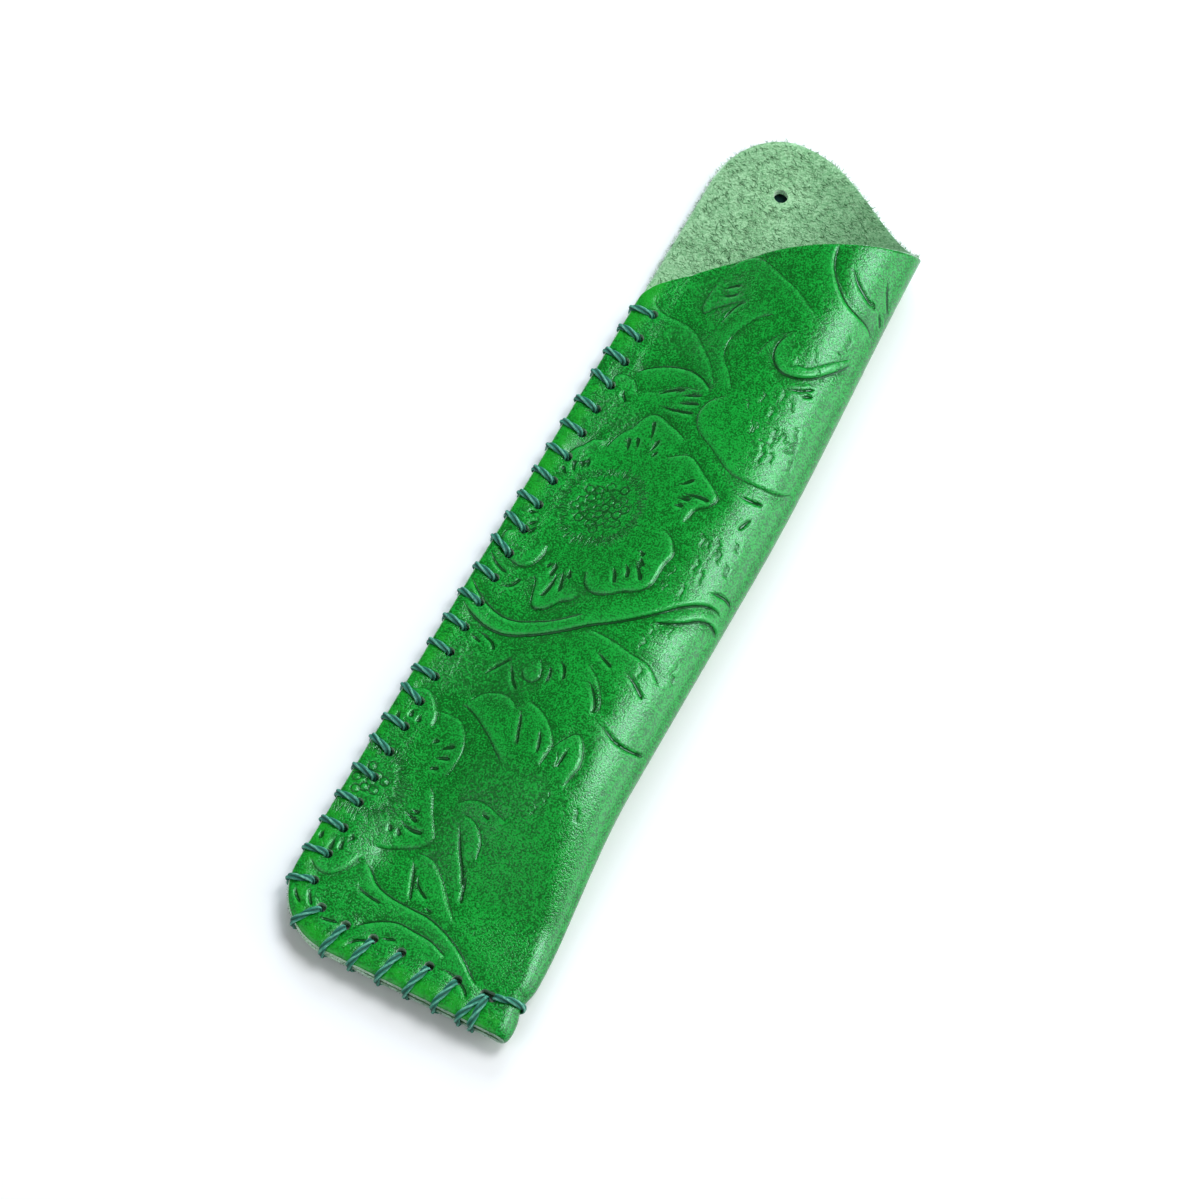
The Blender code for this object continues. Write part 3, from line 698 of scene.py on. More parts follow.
LEAF_EDGES = (
    (12.2, -40.2, 13.8, -37.6, 16.4, -36.5, 19, -36.6, 21, -37.6, 22.4, -39),
    (25, -49.7, 22.4, -47.7, 19.8, -45.6, 17.2, -43.8, 14.1, -41.9, 11.2, -40.9),
    (22.9, -35.9, 26, -37, 28.6, -38.5, 30.7, -40.6, 32, -42.7, 31.9, -45.8, 31.5, -47.9),
    (31.8, -44.3, 33.3, -41.1, 34.9, -39, 36.5, -39.6, 38, -42.2, 38.5, -44.8, 38, -47.4,
     37.5, -49.5),
    (25.5, -18.7, 28.6, -18.9, 32.3, -19.4, 36.5, -20.3, 39.4, -20.6, 41.8, -21.8, 44, -23.8),
    (30.2, -25.6, 32.8, -27.2, 34.9, -29.8, 36.2, -32.4, 36.5, -34),
    (20.8, -27.4, 22.2, -29.2, 22.7, -31.2, 22.1, -32.4, 20.6, -32.6, 19.2, -31.8, 18.3, -30.4),
    (20, -59.4, 22.4, -57.8, 25, -57.3, 28.6, -58.3, 31.3, -59.4),
    (21.9, -60.4, 25, -61, 27, -62.5, 28.4, -64.6, 28.9, -67.7),
    (17.8, -70.5, 19.6, -70.2, 21.6, -70.4, 23.4, -71.6, 26, -74, 28.6, -77, 31.3, -79.7),
)
LEAF_CUTS = (
    (22.2, -37, 23.6, -39.8, 24.8, -42.8, 25.9, -45.6), (28, -40.2, 29.4, -42.8, 30.2, -45.6),
    (35.2, -41.4, 35, -44, 34.7, -46.6), (30, -22.2, 32.2, -23.5, 34.5, -24.5),
    (36.4, -23.8, 39.4, -25.3, 42.4, -27.4), (30.5, -27.7, 32.8, -29.3, 34.9, -31.9, 35.9, -34.5),
    (24, -26.2, 25.8, -27.4, 26.8, -28.8, 27.3, -30.4), (22.8, -27.6, 24.2, -29.6, 24.5, -32),
    (15.3, -29.1, 16.8, -31.6, 18.4, -33.8, 20, -35),
    (5.4, -26.3, 8, -26.7, 10.4, -27.7, 11.4, -29.2), (5.6, -27.6, 8.2, -28.4),
    (11.4, -35, 13.2, -32, 15.3, -29.1), (25.6, -59.4, 27.8, -59.9),
    (35.4, -34.6, 38.5, -35.7, 41.7, -37, 44.5, -37.1, 48.5, -36),
    (21.4, -60.4, 23.4, -63.5, 25.5, -67.2, 27.6, -70.3, 29.2, -73.4),
    (17.4, -70.6, 19.3, -73.4, 20.8, -77, 21.9, -79.7), (24.6, -79.2, 26.4, -79.7),
    (20.4, -73.4, 21.6, -76, 24.4, -77.8), (28.4, -69.3, 29.2, -72.4, 30.2, -76),
)
BEVELS = (                      # edges, how firmly they are pressed, how dark the line is
    (FLOWER_EDGES, 0.8, 0.7), (LOWER_FLOWER_EDGES, 0.6, 0.7), (UPPER_EDGES, 0.5, 0.9),
    (LEAF_EDGES, 0.6, 0.9), (VINE_EDGES, 0.85, 0.95),
)
TEARDROPS = FLOWER_CUTS + LOWER_FLOWER_CUTS
PLAIN_CUTS = VINE_CUTS + UPPER_CUTS + LEAF_CUTS
print(sum(len(edges) for edges, _, _ in BEVELS), "bevelled edges and",
      len(TEARDROPS + PLAIN_CUTS), "plain cuts are drawn")

# %% [markdown]
# The relief of one line depends only on the signed distance to it. A plain cut is a valley with
# a faint lip, thin where the knife went in and deep where it stopped. A bevelled edge drops
# sharply from its raised side, and its ground climbs back slowly on the other. The core of a
# line is thinner than the mesh is fine, so each point also notes its nearest line: how far it
# is, on which side, and how sharply it was cut. Signed distance stays straight across a line, so
# the material can find the line between two points.

# %% The relief
CUT_DEPTH = 0.30 * MM
CUT_HALF = 0.34 * MM
DROP_DEPTH = 0.30 * MM
DROP_HALF = 0.44 * MM
LIP_HEIGHT = 0.06 * MM
LIP_PLACE = 0.72 * MM
CUT_STOP = 0.12                 # a cut stops over this share of its length
EDGE_DEPTH = 0.42 * MM
EDGE_WALL = 0.26 * MM
EDGE_SWELL = 0.20 * MM
EDGE_FADE = 0.1                 # a bevelled edge fades over this share at both ends
SWELL_REACH = 2.4 * MM
BEVEL_REACH = 1.4 * MM
REACH = 4.0 * MM                # a line changes nothing further away than this
SPAN_STEPS = 6                  # straight pieces between two places of a line


def curve_through(places):
    """A smooth line through a few places, in metres.

    Each span is a cubic whose end slopes are half the step between its neighbours.
    """
    p = np.array(places, float).reshape(-1, 2) * MM
    ends = np.vstack((2 * p[0] - p[1], p, 2 * p[-1] - p[-2]))
    slope = (ends[2:] - ends[:-2]) / 2
    t = np.linspace(0.0, 1.0, SPAN_STEPS, endpoint=False)[:, None, None]
    line = (p[:-1] * (2 * t ** 3 - 3 * t ** 2 + 1) + slope[:-1] * (t ** 3 - 2 * t ** 2 + t)
            + p[1:] * (3 * t ** 2 - 2 * t ** 3) + slope[1:] * (t ** 3 - t ** 2))
    return np.vstack((line.transpose(1, 0, 2).reshape(-1, 2), p[-1:]))


def near_line(place, line):
    """For places near a line: which they are, how far, on which side, and how far along."""
    low, high = line.min(axis=0) - REACH, line.max(axis=0) + REACH
    chosen = np.flatnonzero(np.all((place > low) & (place < high), axis=1))
    step = np.diff(line, axis=0)
    length = np.linalg.norm(step, axis=1)
    from_start = place[chosen, None, :] - line[None, :-1, :]
    t = np.clip((from_start * step).sum(axis=2) / length ** 2, 0.0, 1.0)
    away = from_start - t[:, :, None] * step
    nearest = (away ** 2).sum(axis=2).argmin(axis=1)
    every = np.arange(len(chosen))
    away, t = away[every, nearest], t[every, nearest]
    step = step[nearest]
    right = step[:, 1] * away[:, 0] - step[:, 0] * away[:, 1] > 0
    start = np.pad(np.cumsum(length), (1, 0))
    share = (start[nearest] + t * length[nearest]) / start[-1]
    return chosen, np.linalg.norm(away, axis=1), right, share


def flat_relief(count):
    """A relief with nothing pressed into it yet, for a number of points."""
    far = np.full(count, REACH)
    return {"sunk": np.zeros(count), "raised": np.zeros(count), "line_near": far,
            "line_side": far.copy(), "line_sharp": np.zeros(count)}


def press(relief, chosen, distance, right, sharp, sunk, raised):
    """Press one line's depths and heights, and note the line where it is the nearest so far."""
    relief["sunk"][chosen] = np.maximum(relief["sunk"][chosen], sunk)
    relief["raised"][chosen] = np.maximum(relief["raised"][chosen], raised)
    closer = distance < relief["line_near"][chosen]
    spots, close = chosen[closer], distance[closer]
    relief["line_near"][spots] = close
    relief["line_side"][spots] = np.where(right[closer], close, -close)
    relief["line_sharp"][spots] = sharp[closer]


def press_cut(relief, place, line, depth=CUT_DEPTH, half=CUT_HALF, thin_end=0.55, dark=1.0):
    """Press a valley with a faint lip on each side; dark: settled dye and painted shade in it."""
    chosen, distance, right, share = near_line(place, line)
    opened = ease(share / thin_end)
    strength = opened * ease((1 - share) / CUT_STOP) * depth / CUT_DEPTH
    valley = CUT_DEPTH * strength * np.exp(-(distance / half / (0.6 + 0.4 * opened)) ** 2)
    lip = LIP_HEIGHT * strength * np.exp(-((distance - LIP_PLACE) / CUT_HALF) ** 2)
    press(relief, chosen, distance, right, dark * strength, valley, lip)


def press_edge(relief, place, line, firm, dark):
    """Press a bevelled edge: a swell on its right, a slope that climbs back on its left."""
    chosen, distance, right, share = near_line(place, line)
    strength = firm * ease(share / EDGE_FADE) * ease((1 - share) / EDGE_FADE)
    wall = np.exp(-(distance / EDGE_WALL) ** 2)
    swell = EDGE_SWELL * (1 - wall) * np.exp(-(distance / SWELL_REACH) ** 2)
    slope = np.exp(-(distance / BEVEL_REACH) ** 1.5)
    sunk = EDGE_DEPTH * strength * np.where(right, wall, slope)
    raised = np.where(right, strength * swell, 0.0)
    press(relief, chosen, distance, right, dark * strength, sunk, raised)


# %% [markdown]
# The flower's centre is a cluster of rings pressed with a seeder, a small hollow punch. Seeds in
# a real flower head sit at the golden angle, each further out than the last, and the same rule
# spreads the rings evenly. Fine lines radiate from them under the petals. The ground between the
# motifs is matted down, and short wavy marks run over the roll. Whatever is scattered comes from
# a seeded random draw, so it is the same each time the script runs.

# %% Rings, rays and wavy marks
SEEDED_CENTRES = (
    # across, along, rings, their spread, rays start and end, in millimetres
    (15.3, 5.9, 27, 1.04, 6.2, 10.4),
    (3.4, -62.0, 9, 1.05, 4.8, 10.0),
)
RING_RADIUS = 0.82 * MM
RING_DEPTH = 0.15 * MM
RING_HALF = 0.24 * MM
DOME_HEIGHT = 0.07 * MM
GOLDEN_ANGLE = math.pi * (3 - math.sqrt(5))
RAY_COUNT = 60
RAY_DEPTH = 0.10 * MM
RAY_HALF = 0.22 * MM
WAVY_PATCHES = (
    # across, along, half width, half length, how many
    (38, 31, 7, 8, 20), (39, 1, 5, 9, 14), (41, -18, 5, 6, 6), (42, 52, 4, 6, 5),
    (38, -50, 5, 6, 4),
)
WAVY_DEPTH = 0.13 * MM
WAVY_HALF = 0.27 * MM


def press_rings(relief, place, centre, count, spread, draw):
    """Press the seeder's rings: each a narrow circle sunk round a low dome."""
    for number in range(count):
        reach = spread * math.sqrt(number + 0.4)
        turn = number * GOLDEN_ANGLE + draw.uniform(-0.1, 0.1)
        spot = centre + reach * np.array((math.cos(turn), math.sin(turn)))
        from_spot = np.linalg.norm(place - spot, axis=1)
        chosen = np.flatnonzero(from_spot < 3 * RING_RADIUS)
        distance = from_spot[chosen] - RING_RADIUS
        valley = RING_DEPTH * np.exp(-(distance / RING_HALF) ** 2)
        dome = DOME_HEIGHT * np.sqrt(np.clip(1 - (from_spot[chosen] / RING_RADIUS) ** 2, 0.0, 1.0))
        sharp = np.full(len(chosen), draw.uniform(0.42, 0.62))
        press(relief, chosen, np.abs(distance), distance > 0, sharp, valley, dome)


def press_rays(relief, place, centre, inner, outer, draw):
    """Press fine lines that run out from the rings."""
    for number in range(RAY_COUNT):
        turn = 2 * math.pi * (number + draw.uniform(-0.2, 0.2)) / RAY_COUNT
        way = np.array((math.cos(turn), math.sin(turn)))
        start = inner + draw.uniform(0.0, 0.25) * (outer - inner)
        end = outer - draw.uniform(0.0, 0.45) * (outer - inner)
        line = centre + np.array((end, start))[:, None] * way
        press_cut(relief, place, line, RAY_DEPTH, RAY_HALF, dark=1.5)


def press_waves(relief, place, draw):
    """Press the short wavy marks."""
    for across, along, wide, long, count in WAVY_PATCHES:
        for _ in range(count):
            spot = np.array((across, along)) + draw.uniform(-1, 1, 2) * (wide, long)
            turn = draw.uniform(1.6, 2.4)
            steps = np.array((-1.5, -0.5, 0.5, 1.5)) * draw.uniform(0.8, 1.4)
            wave = np.array((-1, 1, -1, 1)) * draw.uniform(0.15, 0.4)
            mark = np.stack((spot[0] + steps * math.cos(turn) - wave * math.sin(turn),
                             spot[1] + steps * math.sin(turn) + wave * math.cos(turn)), axis=1)
            press_cut(relief, place, curve_through(mark), WAVY_DEPTH, WAVY_HALF, 0.3, dark=0.9)


# %% Matted ground
MATTED_PATCHES = (
    # across, along, half width, half length, in millimetres
    (17, -33, 8, 7), (8, -35, 7, 6), (24, -53, 7, 7), (22, -66, 4, 7), (32, -53, 5, 6),
    (12, 44, 8, 4), (14, 56, 8, 6), (8, 25, 6, 4), (20, -13, 4, 3),
)
MATTED_DEPTH = 0.08 * MM
MATTED_RIM = (1.25, 0.8)        # in half sizes: where a patch ends, and how wide its fade is


def matted(place):
    """How strongly each place is matted, from 0 to 1."""
    result = np.zeros(len(place))
    end, fade = MATTED_RIM
    for across, along, wide, long in MATTED_PATCHES:
        reach = np.hypot((place[:, 0] / MM - across) / wide, (place[:, 1] / MM - along) / long)
        result = np.maximum(result, ease((end - reach) / fade))
    return result


# %% [markdown]
# The thread draws the leather in. Each hole sits in a dimple, and each stitch lies in a groove
# that it has pressed from the hole to the edge.

# %% Dimples and grooves
DIMPLE_DEPTH = 0.22 * MM
DIMPLE_REACH = 1.35 * MM
GROOVE_DEPTH = 0.26 * MM
GROOVE_HALF = 0.75 * MM
DENT_REACH = 5 * MM             # nothing further than this from the hole rows is dented


def stitch_dents(x, y, starts, ends):
    """How deep the stitches press at each place: dimples at the holes, grooves to the ends."""
    place = np.stack((x.ravel(), y.ravel()), axis=1)
    depth = np.zeros(len(place))
    close = (place[:, 0] < SIDE_ROW_X + DENT_REACH) | (place[:, 1] < BOTTOM_ROW_Y + DENT_REACH)
    near = np.flatnonzero(close)
    spots = place[near]
    for start, end in zip(starts, ends):
        way = end - start
        t = np.clip(((spots - start) @ way) / (way @ way), 0.0, 1.0)
        across = np.linalg.norm(spots - start - t[:, None] * way, axis=1)
        dimple = DIMPLE_DEPTH * np.exp(-(np.linalg.norm(spots - start, axis=1) / DIMPLE_REACH) ** 2)
        groove = GROOVE_DEPTH * np.exp(-(across / GROOVE_HALF) ** 2)
        depth[near] = np.maximum(depth[near], np.maximum(dimple, groove))
    return depth.reshape(x.shape)


# %% [markdown]
# ## The grain side
# The grain side is two grids. The first is fine, and carries the tooling over the front and
# round the roll. The second is coarser, for the plain back. Near every cut edge the surface
# rounds over, as leather does when it is cut and rubbed.

# %% The grain side's grids
FINE_START = 0.55 * MM          # the fine grid's even columns begin here
FINE_ARC = 52 * MM              # and it reaches this far round
FINE_COLUMNS = 154
FINE_ROWS = 450
BACK_COLUMNS = 36
BACK_ROWS = 110
BACK_LAST_SHARES = (0.985, 0.9925, 0.9965, 1.0)     # its last columns crowd at the seam edge
EDGE_ROUND = 0.5 * MM           # radius of a free cut edge
SEAM_REACH = 2.4 * MM           # a stitched edge rounds over this far in
SEAM_FALL = 0.6 * MM            # and falls by this much
NEAR_EDGE = np.array((0.0, 0.07, 0.18, 0.34)) * MM      # extra rows and columns along an edge
EVEN_START = 7.2                # even rows begin this many times the first step in
SEAM_STRIP = (4.4 * MM, 2.4 * MM)       # the paler strip's width, and how much of it fades
TOOLING_SEED = 7


def row_shares(count):
    """Shares of a column's length, even but for extra rows close to both ends."""
    near = NEAR_EDGE / FRONT_LENGTH
    inset = EVEN_START * near[1]
    return np.concatenate((near, np.linspace(inset, 1 - inset, count), (1 - near)[::-1]))


def fine_arcs():
    """Arc lengths of the fine grid's columns, crowded at the seam edge."""
    return np.concatenate((NEAR_EDGE, np.linspace(FINE_START, FINE_ARC, FINE_COLUMNS)))


def rounded_over(distance, reach, fall):
    """How far the surface falls near an edge: a quarter of an ellipse."""
    near = np.clip(1 - np.clip(distance, 0.0, None) / reach, 0.0, 1.0)
    return fall * (1 - np.sqrt(1 - near ** 2))


def seam_distance(x, y):
    """The distance in plan to the stitched edges: side, round corner and foot."""
    corner = CORNER_RADIUS - np.hypot(np.clip(CORNER_X - x, 0.0, None),
                                      np.clip(CORNER_Y - y, 0.0, None))
    straight = np.minimum(x - SEAM_X, y - FOOT_Y)
    return np.where((x < CORNER_X) & (y < CORNER_Y), corner, straight)


def fall_at_edges(station, y, top, arc):
    """How far the grain side falls towards the stitched edges and the free top edge."""
    x = flesh_section(station, y)[0]
    seam = rounded_over(seam_distance(x, y), SEAM_REACH, SEAM_FALL)
    slope = np.gradient(top) / np.gradient(arc[:, -1])
    down = (top[:, None] - y) / np.sqrt(1 + slope[:, None] ** 2)
    return np.maximum(seam, rounded_over(down, EDGE_ROUND, EDGE_ROUND))


def press_all(station, y, arc):
    """Everything that is pressed into the grain side, at every point of a grid."""
    place = np.stack((arc.ravel(), y.ravel()), axis=1)
    relief = flat_relief(len(place))
    for edges, firm, dark in BEVELS:
        for edge in edges:
            press_edge(relief, place, curve_through(edge), firm, dark)
    for cut in PLAIN_CUTS:
        press_cut(relief, place, curve_through(cut))
    for cut in TEARDROPS:
        press_cut(relief, place, curve_through(cut), DROP_DEPTH, DROP_HALF, 0.8, 1.6)
    draw = np.random.default_rng(TOOLING_SEED)
    for across, along, count, spread, inner, outer in SEEDED_CENTRES:
        centre = np.array((across, along)) * MM
        press_rings(relief, place, centre, count, spread * MM, draw)
        press_rays(relief, place, centre, inner * MM, outer * MM, draw)
    press_waves(relief, place, draw)
    relief["matted"] = matted(place)
    return {name: value.reshape(station.shape) for name, value in relief.items()}


def fine_grid():
    """The tooled front and roll: points, stations, y and relief."""
    arcs = fine_arcs()
    across = lambda y: station_at(np.broadcast_to(arcs[:, None], y.shape), y)
    station, y, top = lay_grid(across, len(arcs), row_shares(FINE_ROWS))
    arc = np.broadcast_to(arcs[:, None], y.shape)
    relief = press_all(station, y, arc)
    x = flesh_section(station, y)[0]
    wide, fade = SEAM_STRIP
    relief["seam"] = ease((wide - seam_distance(x, y)) / fade) * (station < 1)
    dents = stitch_dents(x, y, STARTS, ENDS) * (station < 1)
    height = LEATHER - relief["sunk"] + relief["raised"] - MATTED_DEPTH * relief["matted"]
    height -= dents + fall_at_edges(station, y, top, arc)
    return hide_points(station, y, height), station, y, relief


def back_grid():
    """The plain back: its columns run from just past the fine grid to the seam edge."""
    even = np.linspace(0.0, BACK_LAST_SHARES[0], BACK_COLUMNS + 1)[1:]
    shares = np.concatenate((even, BACK_LAST_SHARES[1:]))
    begin = lambda y: station_at(np.full(y.shape, FINE_ARC), y)
    across = lambda y: begin(y) + (3 - begin(y)) * shares[:, None]
    station, y, top = lay_grid(across, len(shares), row_shares(BACK_ROWS))
    x = flesh_section(station, y)[0]
    dents = stitch_dents(x, y, STARTS[1:], ENDS[:-1]) * (station > 2)
    height = LEATHER - dents - fall_at_edges(station, y, top, arc_at(station, y))
    return hide_points(station, y, height), station, y


# %% [markdown]
# ## One closed hide
# The flesh side is a third, coarser grid. The three are joined into one closed mesh: a strip of
# triangles zips the fine grid to the coarse one, and a rough, slightly bulging cut edge runs all
# round between grain and flesh.

# %% Joining grids


def grid_faces(numbers):
    """The four corners of every face of a grid of numbered points."""
    corners = numbers[:-1, :-1], numbers[1:, :-1], numbers[1:, 1:], numbers[:-1, 1:]
    return np.stack(corners, axis=-1).reshape(-1, 4)


def zipped(line_a, at_a, line_b, at_b):
    """Triangles between two lines of points that run side by side.

    at_a and at_b say how far along each point is. Each step of either line makes one
    triangle with the point that the other line has reached by then.
    """
    reached_b = np.searchsorted(at_b[1:], at_a[1:], side="left")
    reached_a = np.searchsorted(at_a[1:], at_b[1:], side="right")
    on_a = np.stack((line_a[:-1], line_a[1:], line_b[reached_b]), axis=1)
    on_b = np.stack((line_b[1:], line_b[:-1], line_a[reached_a]), axis=1)
    return np.vstack((on_a, on_b))


def border(grids):
    """The border of grids that lie side by side, from the front's lower corner right round."""
    low, top = (np.concatenate([grid[:, end] for grid in grids]) for end in (0, -1))
    return np.concatenate((low[:-1], grids[-1][-1, :-1], top[:0:-1], grids[0][0, :0:-1]))


def border_places(stations, heights):
    """How far round each point of that border is: a side of the grids is worth 1."""
    low, top = (np.concatenate([grid[:, end] for grid in stations]) / 3 for end in (0, -1))
    far, near = ((y - y[0]) / (y[-1] - y[0]) for y in (heights[-1][-1], heights[0][0]))
    return np.concatenate((low[:-1], 1 + far[:-1], 3 - top[:0:-1], 4 - near[:0:-1]))


FLESH_STATIONS = np.concatenate((np.linspace(0.0, 1.0, 25), np.linspace(1.0, 2.0, 17)[1:],
                                 np.linspace(2.0, 3.0, 37)[1:]))
FLESH_ROWS = 110
EDGE_LINES = ((0.10, 0.10 * MM), (0.5, 0.16 * MM), (0.9, 0.06 * MM))    # depth share, bulge
EDGE_ROUGH = 0.07 * MM
FLESH_ROUGH = 0.05 * MM
EDGE_SEED = 11
GRAIN, FLESH, EDGE = 0, 1, 2    # the hide's three materials


def joined_hide():
    """Points, faces, each face's material, each point's painted values and the cut edge."""
    draw = np.random.default_rng(EDGE_SEED)
    fine, back = fine_grid(), back_grid()
    across = lambda y: np.broadcast_to(FLESH_STATIONS[:, None], y.shape)
    station, y, _ = lay_grid(across, len(FLESH_STATIONS), np.linspace(0.0, 1.0, FLESH_ROWS))
    flesh = hide_points(station, y, FLESH_ROUGH * draw.uniform(-1, 1, station.shape))
    points, numbers, count = [], [], 0
    for part in (fine[0], back[0], flesh):
        points.append(part.reshape(-1, 3))
        numbers.append(count + np.arange(len(points[-1])).reshape(part.shape[:2]))
        count += len(points[-1])

    stations, heights = (fine[1], back[1]), (fine[2], back[2])
    loop, at = border(numbers[:2]), border_places(stations, heights)
    edge = {"station": border(stations), "y": border(heights)}
    edge["grain"] = np.concatenate(points)[loop]
    edge["flesh"], skin = (hide_points(edge["station"], edge["y"], height)
                           for height in (0.0, LEATHER))
    along = np.roll(skin, -1, axis=0) - np.roll(skin, 1, axis=0)
    edge["out"] = unit_rows(np.cross(along, skin - edge["flesh"]))

    faces = [grid_faces(grid) for grid in numbers]
    faces[-1] = faces[-1][:, ::-1]
    kinds = [np.full(len(part), kind) for part, kind in zip(faces, (GRAIN, GRAIN, FLESH))]
    previous = loop
    for share, bulge in EDGE_LINES:
        rough = EDGE_ROUGH * draw.normal(0.0, 1.0, len(loop)).clip(-1.5, 1.5)
        points.append(edge["grain"] + (edge["flesh"] - edge["grain"]) * share
                      + edge["out"] * (bulge + rough)[:, None])
        current = count + np.arange(len(loop))
        count += len(loop)
        ahead = np.roll(previous, -1), np.roll(current, -1)
        faces.append(np.stack((previous, *ahead, current), axis=1))
        kinds.append(np.full(len(loop), EDGE))
        previous = current
    seam = zipped(numbers[1][0], back[2][0], numbers[0][-1], fine[2][-1])
    inner, inner_at = border(numbers[2:]), border_places([station], [y])
    rim = zipped(np.append(previous, previous[0]), np.append(at, 4.0),
                 np.append(inner, inner[0]), np.append(inner_at, 4.0))
    kinds += [np.full(len(seam), GRAIN), np.full(len(rim), EDGE)]
    face_list = [face for part in faces for face in part.tolist()]
    face_list += [face for part in (seam, rim) for face in part.tolist() if len(set(face)) == 3]
    painted = {}
    for name, value in fine[3].items():
        painted[name] = np.full(count, value.max() if name == "line_near" else 0.0)
        painted[name][:value.size] = value.ravel()
    return np.concatenate(points), face_list, np.concatenate(kinds), painted, edge


hide_mesh_parts = joined_hide()
cut_edge = hide_mesh_parts[-1]
print("hide grids:", len(hide_mesh_parts[0]), "points,", len(hide_mesh_parts[1]), "faces")

# %% [markdown]
# The holes are punched last, through both layers at once, as on the bench. A Boolean is the
# natural tool: each punch is a short prism, and all of them are joined in one cutter.

# %% Punching the holes
PUNCH_RADIUS = 0.95 * MM
PUNCH_SIDES = 24
PUNCH_OVERRUN = 1.0 * MM
PUNCH_TOP = 9.0 * MM


def punch(place, other, radius, sides):
    """A prism with round ends between two places, as points and faces numbered from 0."""
    turn = 2 * np.pi * (np.arange(sides) + 0.5) / sides
    middle = np.where(np.cos(turn)[:, None] > 0, other, place)
    ring = middle + radius * np.stack((np.cos(turn), np.sin(turn)), axis=1)
    ends = [np.column_stack((ring, np.full(sides, z))) for z in (-PUNCH_OVERRUN, PUNCH_TOP)]
    walls = [(k, (k + 1) % sides, sides + (k + 1) % sides, sides + k) for k in range(sides)]
    return np.vstack(ends), [tuple(range(sides))[::-1], tuple(range(sides, 2 * sides))] + walls


def punched(hide):
    """Cut every stitch hole, the stretched last one and the hang hole out of the hide."""
    jobs = [(hole, hole, PUNCH_RADIUS, PUNCH_SIDES) for hole in HOLES[:-1]]
    jobs.append((HOLES[-1], (LOOP_HOLE_X, BOTTOM_ROW_Y), PUNCH_RADIUS, PUNCH_SIDES))
    jobs.append((HANG_PLACE, HANG_PLACE, HANG_HOLE / 2, 2 * PUNCH_SIDES))
    all_points, all_faces = [], []
    for job in jobs:
        ring_points, ring_faces = punch(*job)
        all_faces += [tuple(len(all_points) + k for k in face) for face in ring_faces]
        all_points += ring_points.tolist()
    mesh = bpy.data.meshes.new("punches")
    mesh.from_pydata(all_points, [], all_faces)
    mesh.polygons.foreach_set("material_index", np.full(len(mesh.polygons), EDGE))
    for material in hide.data.materials:
        mesh.materials.append(material)
    cut = hide.modifiers.new("punched holes", "BOOLEAN")
    cut.solver, cut.object = "EXACT", linked("punches", mesh)
    graph = bpy.context.evaluated_depsgraph_get()
    result = bpy.data.meshes.new_from_object(hide.evaluated_get(graph))
    bpy.data.objects.remove(cut.object, do_unlink=True)
    hide.modifiers.clear()
    hide.data = result


# %% [markdown]
# ## Leather finishes
# Three surfaces show. The grain side is dyed a deep green and waxed: a satin gloss over a fine
# grain. Its colour is darker in the cuts and the sunk ground, partly settled dye and partly painted
# shade, paler on the swells, partly wear and partly painted highlight, and a painted highlight runs
# along the raised side of each edge. The flesh side is a pale sage suede with long fibres. The cut
# edge is paler still, rough and a little blue. Both carry painted shade towards the roll.

# %% Grain side
DEEP_GREEN = shade(2, 92, 20)
LEAF_GREEN = shade(10, 156, 48)
# paler green of grain specks and worn swells, also used for painted highlights
WORN_AND_HIGHLIGHT_GREEN = shade(46, 178, 78)
SEAM_GREEN = shade(24, 156, 28)
# the dark core of each line: partly settled dye, partly painted shade in the narrow cut
CUT_GREEN = shade(0, 66, 12)
WAX_TINT = (0.56, 1.0, 0.78, 1.0)


